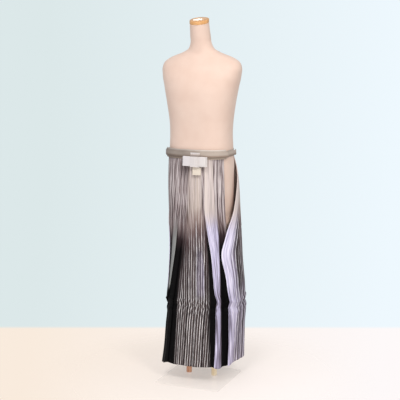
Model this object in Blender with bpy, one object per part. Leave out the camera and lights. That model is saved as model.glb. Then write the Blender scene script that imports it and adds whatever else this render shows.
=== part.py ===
"""Men's divided formal hakama (pleated trousers) worn by a limbless dress form.

Metres, +Z up. The front faces -Y and the wearer's left is +X. The underside of the base plate is Z = 0,
and the two posts of the stand are level with Y = 0.

The cloth hangs round a rounded oblong outline that changes with height. A section of cloth is a path of
(s, d) points: s is the distance along that outline from centre front, positive to the wearer's left, and
d is the depth inside it. Knife pleats are folds of that path, and the wall is the path given a thickness.
"""
import math
from collections import namedtuple

import bmesh
import bpy
import numpy as np

# ---------------------------------------------------------------- driving sizes
SEAM_GAP = 0.0003            # between pieces that are sewn or lie on each other
CLOTH = 0.0012               # thickness of one wall of cloth
PLEAT_LAYER = 0.0022         # spacing of the layers inside a knife pleat, middle to middle
BAND = 0.0020                # thickness of a folded waistband or strap

HEM_Z = 0.078                # lower edge of the legs
WAIST_Z = 1.010              # upper edge of the pleated panels
CROTCH_Z = 0.460             # top of the gusset between the legs

# the outline that the cloth hangs on, level by level: a rounded oblong, boxier (higher power) and slightly
# skewed towards the hem, where the front hangs to the wearer's right of the back
Level = namedtuple("Level", "z half_width front back shift_x shift_y skew power")
OUTLINE = [
    Level(1.110, 0.1460, 0.1120, 0.1030, 0.0000, 0.0000, 0.000, 2.50),
    Level(1.050, 0.1490, 0.1120, 0.1040, 0.0000, 0.0000, 0.000, 2.50),
    Level(1.010, 0.1500, 0.1130, 0.1060, 0.0000, 0.0000, 0.000, 2.50),
    Level(0.900, 0.1580, 0.1180, 0.1240, 0.0040, 0.0020, 0.000, 2.50),
    Level(0.760, 0.1600, 0.1200, 0.1300, 0.0090, 0.0060, 0.000, 2.50),
    Level(0.620, 0.1610, 0.1200, 0.1300, 0.0148, 0.0100, 0.000, 2.50),
    Level(0.560, 0.1605, 0.1220, 0.1330, 0.0156, 0.0110, 0.012, 2.64),
    Level(0.500, 0.1620, 0.1245, 0.1360, 0.0159, 0.0120, 0.024, 2.79),
    Level(0.430, 0.1655, 0.1270, 0.1400, 0.0152, 0.0132, 0.038, 2.96),
    Level(0.385, 0.1670, 0.1285, 0.1420, 0.0139, 0.0139, 0.047, 3.06),
    Level(0.355, 0.1655, 0.1300, 0.1435, 0.0157, 0.0144, 0.053, 3.14),
    Level(0.320, 0.1635, 0.1310, 0.1455, 0.0174, 0.0150, 0.060, 3.22),
    Level(0.250, 0.1610, 0.1335, 0.1490, 0.0110, 0.0161, 0.074, 3.39),
    Level(0.160, 0.1590, 0.1370, 0.1540, 0.0053, 0.0176, 0.093, 3.60),
    Level(0.050, 0.1610, 0.1410, 0.1590, -0.0042, 0.0195, 0.114, 3.86),
]

# where the folds lie along the outline, from centre front: the centre fold, then on the wearer's left the
# second front fold, the side edge of the front and the leading fold of the back, then the same on the
# right, which has three front folds beside the centre one. Distances on the right are measured rightwards.
Folds = namedtuple("Folds", "z centre left_2 left_side left_back "
                            "right_1 right_2 right_3 right_side right_back")
FOLDS = [
    Folds(1.010, 0.0180, 0.0560, 0.1450, 0.2970, 0.0120, 0.0270, 0.0420, 0.1450, 0.2970),
    Folds(0.900, 0.0190, 0.0580, 0.1480, 0.2500, 0.0165, 0.0310, 0.0490, 0.1480, 0.2500),
    Folds(0.760, 0.0190, 0.0600, 0.1530, 0.1920, 0.0240, 0.0410, 0.0660, 0.1560, 0.1950),
    Folds(0.700, 0.0195, 0.0680, 0.1560, 0.1620, 0.0280, 0.0480, 0.0750, 0.1620, 0.1680),
    Folds(0.650, 0.0195, 0.0750, 0.1560, 0.1460, 0.0310, 0.0530, 0.0830, 0.1640, 0.1560),
    Folds(0.600, 0.0205, 0.0840, 0.1485, 0.1305, 0.0360, 0.0610, 0.0905, 0.1680, 0.1500),
    Folds(0.486, 0.0200, 0.0970, 0.1675, 0.1495, 0.0450, 0.0770, 0.1115, 0.1860, 0.1680),
    Folds(0.407, 0.0212, 0.1065, 0.1815, 0.1635, 0.0520, 0.0880, 0.1260, 0.2010, 0.1830),
    Folds(0.378, 0.0215, 0.1150, 0.1895, 0.1715, 0.0550, 0.0930, 0.1330, 0.2060, 0.1880),
    Folds(0.355, 0.0219, 0.1110, 0.1865, 0.1685, 0.0570, 0.0970, 0.1460, 0.2130, 0.1950),
    Folds(0.290, 0.0159, 0.1100, 0.1895, 0.1715, 0.0600, 0.1020, 0.1580, 0.2200, 0.2020),
    Folds(0.180, 0.0095, 0.1080, 0.1955, 0.1775, 0.0650, 0.1120, 0.1670, 0.2300, 0.2120),
    Folds(0.050, 0.0020, 0.1030, 0.1960, 0.1780, 0.0720, 0.1240, 0.1800, 0.2440, 0.2260),
]

# relief of the face beside the back's leading fold: it swells into a ridge, then sinks in a deep recess
Relief = namedtuple("Relief", "z ridge recess right_recess")
RELIEF = [
    Relief(0.700, 0.0000, 0.0000, 0.0000),
    Relief(0.600, 0.0005, 0.0020, 0.0010),
    Relief(0.486, 0.0012, 0.0060, 0.0020),
    Relief(0.378, 0.0026, 0.0110, 0.0050),
    Relief(0.330, 0.0018, 0.0100, 0.0060),
    Relief(0.180, 0.0026, 0.0120, 0.0080),
    Relief(0.050, 0.0036, 0.0150, 0.0100),
]
# how the relief is spread over the face: share of its width, of the ridge and of the recess
Spread = namedtuple("Spread", "share ridge recess")
RELIEF_SPREAD = [
    Spread(0.14, 0.70, 0.00), Spread(0.30, 1.00, 0.00), Spread(0.44, 0.30, 0.20),
    Spread(0.58, 0.00, 0.75), Spread(0.74, 0.00, 1.00), Spread(0.90, 0.00, 0.85),
]

# how far the cloth turns back under a fold, and how far the back pleat lies from the centre back
Turn = namedtuple("Turn", "z centre front back back_pleat")
TURNS = [
    Turn(1.010, 0.0140, 0.0080, 0.0140, 0.0180),
    Turn(0.760, 0.0160, 0.0110, 0.0200, 0.0300),
    Turn(0.400, 0.0180, 0.0160, 0.0260, 0.0420),
    Turn(0.050, 0.0200, 0.0180, 0.0300, 0.0500),
]
# how many points lie on the flat faces between the folds
LEFT_FACE_POINTS = (4,)
RIGHT_FACE_POINTS = (2, 2, 2)
BACK_FACE_POINTS = 9

# the hem is not quite level: how much lower it hangs at a distance from centre front
Drop = namedtuple("Drop", "s drop")
HEM_DROP = [
    Drop(-0.480, 0.000), Drop(-0.230, 0.000), Drop(-0.176, 0.012), Drop(-0.152, 0.008),
    Drop(-0.125, -0.002), Drop(-0.095, 0.000), Drop(-0.020, 0.003), Drop(0.040, 0.000),
    Drop(0.094, -0.004), Drop(0.112, 0.003), Drop(0.178, 0.003), Drop(0.200, 0.000),
    Drop(0.235, -0.005), Drop(0.300, 0.000), Drop(0.480, 0.000),
]
SIDE_LAP = 0.006             # least width of cloth turned under at the side edges
CENTRE_BACK_HALF_GAP = 0.00035
DROP_FADE_Z = 0.300          # height at which the hem's unevenness has died away

PANEL_ROWS = [HEM_Z, 0.112, 0.160, 0.215, 0.270, 0.316, 0.342, 0.362, 0.384, 0.412,
              0.460, 0.520, 0.575, 0.630, 0.690, 0.770, 0.850, 0.930, WAIST_Z]

# the dress form: rings from the hips to the top of the neck
Ring = namedtuple("Ring", "z half_width front back shift_y power")
TORSO_SIDES = 40
TORSO_RINGS = [
    Ring(0.6800, 0.1120, 0.0800, 0.0850, 0.008, 2.2),
    Ring(0.6860, 0.1210, 0.0870, 0.0920, 0.008, 2.2),
    Ring(0.7600, 0.1380, 0.0980, 0.1080, 0.006, 2.3),
    Ring(0.8600, 0.1430, 0.1030, 0.1080, 0.003, 2.3),
    Ring(0.9300, 0.1430, 0.1055, 0.1040, 0.001, 2.4),
    Ring(1.1500, 0.1400, 0.1060, 0.0960, 0.000, 2.4),
    Ring(1.2400, 0.1520, 0.1140, 0.1020, 0.000, 2.4),
    Ring(1.3100, 0.1660, 0.1130, 0.1080, 0.000, 2.3),
    Ring(1.3600, 0.1770, 0.1010, 0.1040, 0.002, 2.3),
    Ring(1.3930, 0.1800, 0.0860, 0.0920, 0.004, 2.2),
    Ring(1.4180, 0.1680, 0.0700, 0.0760, 0.006, 2.1),
    Ring(1.4380, 0.1340, 0.0580, 0.0640, 0.006, 2.0),
    Ring(1.4530, 0.0920, 0.0510, 0.0560, 0.004, 2.0),
    Ring(1.4680, 0.0620, 0.0480, 0.0500, 0.000, 2.0),
    Ring(1.4900, 0.0480, 0.0450, 0.0460, -0.005, 2.0),
    Ring(1.5300, 0.0440, 0.0430, 0.0430, -0.015, 2.0),
    Ring(1.5815, 0.0412, 0.0410, 0.0410, -0.027, 2.0),
]
WAIST_RING_ZS = [0.975, 1.005, 1.030, 1.055, 1.090]   # rings of the form that follow the cloth's outline
TORSO_INSET = 0.0092                                   # the straps reach this deep inside the outline there
TORSO_EASE = 0.0004                                    # and the form's coarser facets clear them by this

# the neck's top and the cap on it slope down to the front
NECK_SLOPE = 0.250           # rise for each metre to the back
NECK_SLOPE_FROM_Z = 1.490    # the slope grows from this height to the neck's top

NECK_CAP_HEIGHT = 0.0165
NECK_CAP_OVERHANG = 0.0010
CapRing = namedtuple("CapRing", "up wide")   # shares of the cap's height and radius
NECK_CAP_RINGS = [
    CapRing(0.00, 0.975), CapRing(0.08, 1.00), CapRing(0.68, 1.00), CapRing(0.80, 0.98),
    CapRing(0.88, 0.93), CapRing(0.94, 0.72), CapRing(0.98, 0.42), CapRing(1.00, 0.15),
]
ROUND_SIDES = 32
BASE_BOARD = namedtuple("Board", "half_width half_depth height shift_y power edge")(
    0.112, 0.080, 0.012, 0.004, 2.2, 0.0015)
POST_RADIUS = 0.0125
POST_SPACING = 0.122
PLATE_SIZE = 0.300
PLATE_HEIGHT = 0.008
PLATE_CENTRE_Y = -0.033
PLATE_CORNER = 0.004
PLATE_EDGE = 0.0008

# waistband, straps and knot
FRONT_BAND_BOTTOM = 1.004
FRONT_BAND_TOP = 1.0450
WAIST_STATIONS = 72          # bands and straps share these stations round the waist, so they nest
CENTRE_STATION = 36
FRONT_BAND_STATIONS = 13     # how many stations the waistband reaches to each side
BACK_STRAP_OVERLAP = 1       # how many the back straps pass the knot by
BACK_STRAP_STATIONS = 24     # and how many lie between centre front and their roots
BAND_EDGE = 0.002            # height of the waistband's end rows
STRAP_STEP_RUN = 0.020       # the straps close on to the form over this length beside the waistband
FRONT_STRAP_STEP = 0.004     # and start to do so this far beyond its ends
BACK_STRAP_STEP = 0.006
ROOT_LIFT_START = 0.235      # towards the back board the back straps rise to its surface
ROOT_LIFT_RUN = 0.040
FRONT_STRAP = namedtuple("Strap", "bottom top")(1.0140, 1.0400)
BACK_STRAP = namedtuple("Strap", "bottom top")(1.0120, 1.0340)
BOARD_BOTTOM = 1.000
BOARD_TOP = 1.088
BOARD_THICKNESS = 0.0045
BOARD_LOWER_REACH = 0.126    # half widths of the stiff back board
BOARD_UPPER_REACH = 0.086
BOARD_ROWS = 6
BOARD_COLUMNS = 17

KNOT_X = 0.019               # the knot sits over the centre fold
BAR_LENGTH = 0.111
BAR_HEIGHT = 0.043
BAR_LAYER = 0.0036           # one folded layer of strap
BAR_LAYERS = 4
BAR_MIDDLE_Z = 0.9960
BAR_STEP = 0.0018            # each layer of the bar ends this much short of the one below
BarEnd = namedtuple("BarEnd", "share inset")   # rounded end of one layer: share of its thickness
BAR_END = [BarEnd(0.04, 0.0015), BarEnd(0.25, 0.0003), BarEnd(0.70, 0.0003), BarEnd(0.92, 0.0015)]
KNOT_EASE = 0.0002
WRAP_WIDTH = 0.041
WRAP_THICKNESS = 0.0024
WRAP_TOP_Z = 1.0335
TAIL_WIDTH = 0.038
TAIL_HEIGHT = 0.035
TAIL_X = KNOT_X + 0.008
TAIL_THICKNESS = 0.0038      # several folded layers
TAIL_LEAN = 0.0024           # its lower edge stands this far off the cloth
TAIL_EDGE = 0.001

# ---------------------------------------------------------------- materials: colour, roughness, metallic
MATERIALS = {
    "black_striped_silk": ((0.06, 0.05, 0.055), 0.55, 0.0),
    "pale_silk": ((0.72, 0.66, 0.62), 0.50, 0.0),
    "white_silk": ((0.85, 0.81, 0.80), 0.50, 0.0),
    "form_jersey": ((0.84, 0.68, 0.58), 0.80, 0.0),
    "cap_wood": ((0.62, 0.40, 0.22), 0.35, 0.0),
    "post_wood": ((0.70, 0.50, 0.34), 0.40, 0.0),
    "plate_glass": ((0.86, 0.90, 0.89), 0.08, 0.0),
}


def clear_scene():
    for old in list(bpy.data.objects):
        bpy.data.objects.remove(old, do_unlink=True)


def make_material(name):
    colour, roughness, metallic = MATERIALS[name]
    material = bpy.data.materials.new(name)
    material.use_nodes = True
    shader = material.node_tree.nodes["Principled BSDF"]
    shader.inputs["Base Color"].default_value = (*colour, 1.0)
    shader.inputs["Roughness"].default_value = roughness
    shader.inputs["Metallic"].default_value = metallic
    return material


# ---------------------------------------------------------------- outline
def column_at(table, z, column):
    """Read one named column of a table of levels at height z."""
    rows = sorted(table, key=lambda row: row.z)
    heights = [row.z for row in rows]
    return float(np.interp(z, heights, [getattr(row, column) for row in rows]))


def oblong(angles, half_width, front, back, power):
    """Points of a rounded oblong; angle 0 is centre front and grows towards +X."""
    sines = np.sin(angles)
    cosines = np.cos(angles)
    depths = np.where(cosines > 0, front, back)
    radii = (np.abs(sines / half_width) ** power + np.abs(cosines / depths) ** power) ** (-1.0 / power)
    return radii * sines, -radii * cosines


class Outline:
    """The outline at one height, measured by the distance s from centre front."""

    steps = 720

    def __init__(self, z):
        angles = np.linspace(-math.pi, math.pi, self.steps + 1)
        sizes = [column_at(OUTLINE, z, name) for name in ("half_width", "front", "back", "power")]
        x, y = oblong(angles, *sizes)
        self.x = x + column_at(OUTLINE, z, "shift_x") + column_at(OUTLINE, z, "skew") * y
        self.y = y + column_at(OUTLINE, z, "shift_y")
        lengths = np.concatenate([[0.0], np.cumsum(np.hypot(np.diff(self.x), np.diff(self.y)))])
        in_front = np.abs(angles) < math.pi / 3
        self.s = lengths - np.interp(0.0, self.x[in_front], lengths[in_front])
        tangent_x = np.gradient(self.x, self.s)
        tangent_y = np.gradient(self.y, self.s)
        self.normal_x = tangent_y
        self.normal_y = -tangent_x
        self.back_left = self.s[-1]
        self.back_right = -self.s[0]

    def point(self, s, depth):
        nx = np.interp(s, self.s, self.normal_x)
        ny = np.interp(s, self.s, self.normal_y)
        size = math.hypot(nx, ny)
        x = np.interp(s, self.s, self.x) - depth * nx / size
        y = np.interp(s, self.s, self.y) - depth * ny / size
        return x, y


def hem_drop(s, z):
    fade = max(0.0, (DROP_FADE_Z - z) / (DROP_FADE_Z - HEM_Z))
    drop = float(np.interp(s, [row.s for row in HEM_DROP], [row.drop for row in HEM_DROP]))
    return drop * fade ** 2


# ---------------------------------------------------------------- sections and walls
def offset_path(path, distance):
    """Shift an open path sideways by a distance, with mitred corners."""
    path = np.asarray(path, dtype=float)
    steps = np.diff(path, axis=0)
    steps /= np.linalg.norm(steps, axis=1)[:, None]
    sides = np.stack([steps[:, 1], -steps[:, 0]], axis=1)
    before = np.vstack([sides[:1], sides])
    after = np.vstack([sides, sides[-1:]])
    mitre = before + after
    mitre /= (1.0 + np.sum(before * after, axis=1))[:, None]
    return path + distance * mitre


def add_object(name, mesh_builder, material_name):
    """Turn a bmesh into a named object with its own material."""
    mesh = bpy.data.meshes.new(name)
    bmesh.ops.recalc_face_normals(mesh_builder, faces=mesh_builder.faces)
    mesh_builder.to_mesh(mesh)
    mesh_builder.free()
    mesh.materials.append(make_material(material_name))
    item = bpy.data.objects.new(name, mesh)
    bpy.context.scene.collection.objects.link(item)
    return item


def wall_between(name, outer_rows, inner_rows, material_name, closed=False):
    """One closed wall between two grids of points, which have the same rows and columns.

    Both sheets are split along the same diagonals, so that a twisted wall keeps its thickness.
    """
    builder = bmesh.new()
    outer = [[builder.verts.new(point) for point in row] for row in outer_rows]
    inner = [[builder.verts.new(point) for point in row] for row in inner_rows]
    rows = len(outer)
    columns = len(outer[0])
    spans = range(columns) if closed else range(columns - 1)
    for i in range(rows - 1):
        for j in spans:
            k = (j + 1) % columns
            for sheet in (outer, inner):
                builder.faces.new((sheet[i][j], sheet[i][k], sheet[i + 1][k]))
                builder.faces.new((sheet[i][j], sheet[i + 1][k], sheet[i + 1][j]))
    for j in spans:
        k = (j + 1) % columns
        builder.faces.new((outer[0][k], outer[0][j], inner[0][j], inner[0][k]))
        builder.faces.new((outer[-1][j], outer[-1][k], inner[-1][k], inner[-1][j]))
    if not closed:
        for i in range(rows - 1):
            builder.faces.new((outer[i][0], outer[i + 1][0], inner[i + 1][0], inner[i][0]))
            builder.faces.new((outer[i + 1][-1], outer[i][-1], inner[i][-1], inner[i + 1][-1]))
    return add_object(name, builder, material_name)


def panel_from_paths(name, path_at, rows, thickness, material_name, closed=False, uneven_hem=True):
    """A wall of cloth: path_at(z) gives the section's (s, d) path, the same number of points each time."""
    sheets = ([], [])
    for z in rows:
        outline = Outline(z)
        path = path_at(z, outline)
        for sheet, side in zip(sheets, (0.5, -0.5)):
            row = []
            for s, depth in offset_path(path, side * thickness):
                x, y = outline.point(s, depth)
                drop = hem_drop(s, z) if uneven_hem else 0.0
                row.append((x, y, z - drop))
            sheet.append(row)
    return wall_between(name, sheets[0], sheets[1], material_name, closed)


# ---------------------------------------------------------------- pleated panels
def knife_fold(at, turn, slope):
    """The path through one knife pleat whose edge is at a distance; the next face starts where it ends."""
    g = PLEAT_LAYER
    return [
        (at, 2 * g),
        (at + turn - g / 2, 2 * g + slope * (turn - g / 2)),
        (at + turn, 1.5 * g + slope * turn),
        (at + turn - g / 2, g + slope * (turn - g / 2)),
    ] + fold_edge(at, slope)


def fold_edge(at, slope):
    g = PLEAT_LAYER
    return [
        (at + g / 2, g + slope * g / 2),
        (at, g / 2),
        (at + g / 2, slope * g / 2),
    ]


def straight(start, end, count):
    """Inner points of a straight run, without its two ends."""
    return [(start[0] + (end[0] - start[0]) * i / (count + 1),
             start[1] + (end[1] - start[1]) * i / (count + 1)) for i in range(1, count + 1)]


def slope_to(at, next_at):
    return 2 * PLEAT_LAYER / (next_at - at)


def relief_face(start, end, ridge, recess):
    """Inner points of the face beside the back's leading fold."""
    face = []
    for row in RELIEF_SPREAD:
        s = start[0] + (end[0] - start[0]) * row.share
        depth = start[1] + (end[1] - start[1]) * row.share
        face.append((s, depth - ridge * row.ridge + recess * row.recess))
    return face


def pleated_front(start, first_fold, folds, turns, lead, side, face_counts, ridge, recess):
    """The path of one front: its start, its folds facing the centre, and its side edge under the back."""
    path = list(start)
    if first_fold is not None:
        path += fold_edge(first_fold, slope_to(first_fold, folds[0]))
    under_back = min(lead, side - SIDE_LAP)
    marks = list(folds) + [under_back]
    for index, at in enumerate(folds):
        path += straight(path[-1], (at, 2 * PLEAT_LAYER), face_counts[index])
        path += knife_fold(at, turns[index], slope_to(at, marks[index + 1]))
    path += relief_face(path[-1], (under_back, 2 * PLEAT_LAYER), ridge, recess)
    path += [(under_back, 2 * PLEAT_LAYER + 0.5 * recess), (side, 2 * PLEAT_LAYER)]
    return path


def centre_seam(z):
    """Where the two fronts are sewn together, hidden behind the centre fold."""
    centre = column_at(FOLDS, z, "centre")
    return centre + column_at(TURNS, z, "centre")


def centre_turn_depth(z):
    """Depth of the left front's edge, where it ends behind the centre fold."""
    centre = column_at(FOLDS, z, "centre")
    second = column_at(FOLDS, z, "left_2")
    return PLEAT_LAYER + slope_to(centre, second) * (centre_seam(z) - centre)


def front_left_path(z, outline):
    centre = column_at(FOLDS, z, "centre")
    second = column_at(FOLDS, z, "left_2")
    side = column_at(FOLDS, z, "left_side")
    start = [(centre_seam(z), centre_turn_depth(z))]
    turns = [column_at(TURNS, z, "front")]
    lead = column_at(FOLDS, z, "left_back")
    ridge = column_at(RELIEF, z, "ridge")
    recess = column_at(RELIEF, z, "recess")
    return pleated_front(start, centre, [second], turns, lead, side, LEFT_FACE_POINTS, ridge, recess)


def front_right_path(z, outline):
    centre = column_at(FOLDS, z, "centre")
    seam = centre_seam(z) - CLOTH
    depth = centre_turn_depth(z) + CLOTH + SEAM_GAP
    folds = [column_at(FOLDS, z, name) for name in ("right_1", "right_2", "right_3")]
    side = column_at(FOLDS, z, "right_side")
    turns = [column_at(TURNS, z, "front")] * 3
    start = [(-seam, depth), (-centre, 2 * PLEAT_LAYER)]
    lead = column_at(FOLDS, z, "right_back")
    ridge = column_at(RELIEF, z, "ridge")
    recess = column_at(RELIEF, z, "right_recess")
    path = pleated_front(start, None, folds, turns, lead, side, RIGHT_FACE_POINTS, ridge, recess)
    return [(-s, depth) for s, depth in path]


def back_path(z, outline, lead, side, half_girth):
    """From the side seam to the centre back; distances are measured from centre front."""
    turn = max(side - lead, SIDE_LAP)
    g = PLEAT_LAYER
    pleat = half_girth - column_at(TURNS, z, "back_pleat")
    under = column_at(TURNS, z, "back")
    seam_depth = 2 * g - CLOTH - SEAM_GAP
    path = [(lead + turn, seam_depth)]
    path += [(lead + g / 2, g), (lead, g / 2), (lead + g / 2, 0.0)]
    path += straight(path[-1], (pleat - g / 2, 0.0), BACK_FACE_POINTS)
    path += [(pleat - g / 2, 0.0), (pleat, g / 2), (pleat - g / 2, g)]
    path += [(pleat - under + g / 2, g), (pleat - under, 1.5 * g), (pleat - under + g / 2, 2 * g)]
    path += [(pleat, 2 * g), (half_girth - CENTRE_BACK_HALF_GAP, 2 * g)]
    return path


def back_left_path(z, outline):
    lead = column_at(FOLDS, z, "left_back")
    side = column_at(FOLDS, z, "left_side")
    return back_path(z, outline, lead, side, outline.back_left)


def back_right_path(z, outline):
    lead = column_at(FOLDS, z, "right_back")
    side = column_at(FOLDS, z, "right_side")
    path = back_path(z, outline, lead, side, outline.back_right)
    return [(-s, depth) for s, depth in path]


def build_panels():
    panels = [
        ("front_left", front_left_path),
        ("front_right", front_right_path),
        ("back_left", back_left_path),
        ("back_right", back_right_path),
    ]
    for name, path_at in panels:
        panel_from_paths(name, path_at, PANEL_ROWS, CLOTH, "black_striped_silk")


# ---------------------------------------------------------------- gusset between the legs
GUSSET_ROWS = [z for z in PANEL_ROWS if z <= CROTCH_Z]
GUSSET_SPREAD = 0.009        # half the distance between the two gussets at the hem
GUSSET_PARTING = 0.0030      # how far the two have parted where they leave the seams, at the hem
GUSSET_LEAD_IN = 0.018
GUSSET_MIDDLE = 0.045        # they run straight this far to each side of the posts


def catmull(points, count):
    """A smooth curve through plan points, with a number of steps on each span."""
    points = np.asarray(points, dtype=float)
    padded = np.vstack([2 * points[0] - points[1], points, 2 * points[-1] - points[-2]])
    curve = []
    for i in range(1, len(padded) - 2):
        a, b, c, d = padded[i - 1:i + 3]
        for step in range(count):
            t = step / count
            curve.append(0.5 * (2 * b + (c - a) * t + (2 * a - 5 * b + 4 * c - d) * t ** 2
                                + (3 * b - a - 3 * c + d) * t ** 3))
    curve.append(padded[-2])
    return np.array(curve)


def gusset_plan(z, side):
    """Plan of one gusset, from the front seam to the back seam; side is 1 on the wearer's left."""
    outline = Outline(z)
    seam = centre_seam(z)
    closing = (CROTCH_Z - z) / (CROTCH_Z - HEM_Z)
    spread = side * (CLOTH / 2 + SEAM_GAP + GUSSET_SPREAD * closing)
    under_left = centre_turn_depth(z)
    deep = under_left if side > 0 else under_left + 2 * (CLOTH + SEAM_GAP)
    back_deep = 2 * PLEAT_LAYER + CLOTH / 2 + 2 * SEAM_GAP
    half_gap = CLOTH / 2 + SEAM_GAP
    parted = half_gap + GUSSET_PARTING * closing
    half_girth = outline.back_left if side > 0 else outline.back_right
    front = outline.point(seam + side * half_gap, deep)
    front_in = outline.point(seam + side * parted, under_left + GUSSET_LEAD_IN)
    back = outline.point(side * (half_girth - half_gap), back_deep)
    back_in = outline.point(side * (half_girth - parted), back_deep + GUSSET_LEAD_IN)
    middle = column_at(OUTLINE, z, "shift_x")
    points = [front, front_in, (middle + spread, -GUSSET_MIDDLE), (middle + spread, GUSSET_MIDDLE),
              back_in, back]
    return catmull(points, 3)


def build_gussets():
    for name, side in (("gusset_left", 1), ("gusset_right", -1)):
        sheets = ([], [])
        for z in GUSSET_ROWS:
            plan = gusset_plan(z, side)
            for sheet, way in zip(sheets, (0.5, -0.5)):
                sheet.append([(x, y, z) for x, y in offset_path(plan, way * CLOTH)])
        wall_between(name, sheets[0], sheets[1], "black_striped_silk")


# ---------------------------------------------------------------- waistband, straps and back board
def depth_front_band(s):
    return -(CLOTH / 2 + SEAM_GAP + BAND / 2)


def eased(distance, start, run):
    """0 up to a distance, 1 past the run after it, and a smooth step between."""
    share = min(1.0, max(0.0, (distance - start) / run))
    return share * share * (3 - 2 * share)


def strap_depth(s, reach, front_depth, side_depth):
    """A strap lies proud on the front band and closes on to the body beside it."""
    return front_depth + (side_depth - front_depth) * eased(abs(s), reach, STRAP_STEP_RUN)


def waist_stations(outline, first, last):
    """Distances along the outline of the stations first to last, counted from centre front."""
    around = np.linspace(-outline.back_right, outline.back_left, WAIST_STATIONS + 1)
    return around[CENTRE_STATION + first:CENTRE_STATION + last + 1]


def front_band_reach():
    outline = Outline(WAIST_Z)
    return FRONT_BAND_STATIONS * (outline.back_left + outline.back_right) / WAIST_STATIONS


FRONT_STRAP_FRONT = depth_front_band(0) - BAND - SEAM_GAP
BACK_STRAP_FRONT = FRONT_STRAP_FRONT - BAND - SEAM_GAP
FRONT_STRAP_SIDE = TORSO_INSET - BAND / 2 - SEAM_GAP
BACK_STRAP_SIDE = FRONT_STRAP_SIDE - BAND - SEAM_GAP
BACK_BOARD_DEPTH = -(CLOTH / 2 + SEAM_GAP + BOARD_THICKNESS / 2)


def band_wall(name, s_values, depth_of, rows, thickness, material_name, closed=False):
    def path_at(z, outline):
        return [(s, depth_of(s)) for s in s_values(z, outline)]
    return panel_from_paths(name, path_at, rows, thickness, material_name, closed, uneven_hem=False)


def build_front_band():
    def s_values(z, outline):
        return waist_stations(outline, -FRONT_BAND_STATIONS, FRONT_BAND_STATIONS)
    rows = [FRONT_BAND_BOTTOM, FRONT_BAND_BOTTOM + BAND_EDGE, FRONT_BAND_TOP - BAND_EDGE, FRONT_BAND_TOP]
    band_wall("waistband_front", s_values, depth_front_band, rows, BAND, "pale_silk")


def build_front_strap():
    """The front straps wrap round the form, pass behind the back panel and cross in front."""
    sheets = ([], [])
    reach = front_band_reach() + FRONT_STRAP_STEP
    for z in (FRONT_STRAP.bottom, FRONT_STRAP.top):
        outline = Outline(z)
        around = waist_stations(outline, -CENTRE_STATION, CENTRE_STATION - 1)
        for sheet, side in zip(sheets, (-0.5, 0.5)):
            row = []
            for s in around:
                depth = strap_depth(s, reach, FRONT_STRAP_FRONT, FRONT_STRAP_SIDE)
                x, y = outline.point(s, depth + side * BAND)
                row.append((x, y, z))
            sheet.append(row)
    wall_between("front_strap_wrap", sheets[0], sheets[1], "pale_silk", closed=True)


def build_back_straps():
    """Each back strap leaves the corner of the back board and runs forward to the knot."""
    near = BACK_STRAP_OVERLAP
    far = BACK_STRAP_STATIONS
    reach = front_band_reach() + BACK_STRAP_STEP
    ends = {"back_strap_left": (near + 1, far), "back_strap_right": (-far, near)}
    for name, (first, last) in ends.items():
        def s_values(z, outline):
            return waist_stations(outline, first, last)

        def depth_of(s):
            front = strap_depth(s, reach, BACK_STRAP_FRONT, BACK_STRAP_SIDE)
            return front + (BACK_BOARD_DEPTH - front) * eased(abs(s), ROOT_LIFT_START, ROOT_LIFT_RUN)
        rows = [BACK_STRAP.bottom, BACK_STRAP.top]
        band_wall(name, s_values, depth_of, rows, BAND, "white_silk")


def build_back_board():
    """The stiff trapezoid that stands up from the back waist."""
    sheets = ([], [])
    for z in np.linspace(BOARD_BOTTOM, BOARD_TOP, BOARD_ROWS):
        outline = Outline(z)
        share = (z - BOARD_BOTTOM) / (BOARD_TOP - BOARD_BOTTOM)
        reach = BOARD_LOWER_REACH + (BOARD_UPPER_REACH - BOARD_LOWER_REACH) * share
        for sheet, side in zip(sheets, (-0.5, 0.5)):
            row = []
            for along in np.linspace(-reach, reach, BOARD_COLUMNS):
                s = outline.back_left + along if along <= 0 else along - outline.back_right
                x, y = outline.point(s, BACK_BOARD_DEPTH + side * BOARD_THICKNESS)
                row.append((x, y, z))
            sheet.append(row)
    wall_between("back_board", sheets[0], sheets[1], "white_silk")


# ---------------------------------------------------------------- knot
def knot_front_y():
    """How far forward the straps come where the knot lies on them."""
    outline = Outline(BACK_STRAP.bottom)
    return outline.point(KNOT_X, BACK_STRAP_FRONT - BAND / 2)[1]


def extrude_outline(name, outline_points, lift, material_name):
    """A prism: a closed outline of 3-D points pushed along the lift vector."""
    builder = bmesh.new()
    verts = [builder.verts.new(point) for point in outline_points]
    face = builder.faces.new(verts)
    raised = bmesh.ops.extrude_face_region(builder, geom=[face])
    moved = [item for item in raised["geom"] if isinstance(item, bmesh.types.BMVert)]
    bmesh.ops.translate(builder, verts=moved, vec=lift)
    return add_object(name, builder, material_name)


def build_knot_bar():
    """Folded layers of strap: in plan a stack of rounded ends, each a little shorter than the last."""
    back_y = knot_front_y() - SEAM_GAP - KNOT_EASE
    right_end = []
    left_end = []
    for layer in range(BAR_LAYERS):
        half = BAR_LENGTH / 2 - layer * BAR_STEP
        y0 = back_y - layer * BAR_LAYER
        for point in BAR_END:
            y = y0 - point.share * BAR_LAYER
            right_end.append((KNOT_X + half - point.inset, y))
            left_end.append((KNOT_X - half + point.inset, y))
    plan = right_end + left_end[::-1]
    bottom = BAR_MIDDLE_Z - BAR_HEIGHT / 2
    extrude_outline("knot_bar", [(x, y, bottom) for x, y in plan], (0, 0, BAR_HEIGHT), "white_silk")
    return back_y - BAR_LAYERS * BAR_LAYER


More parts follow.
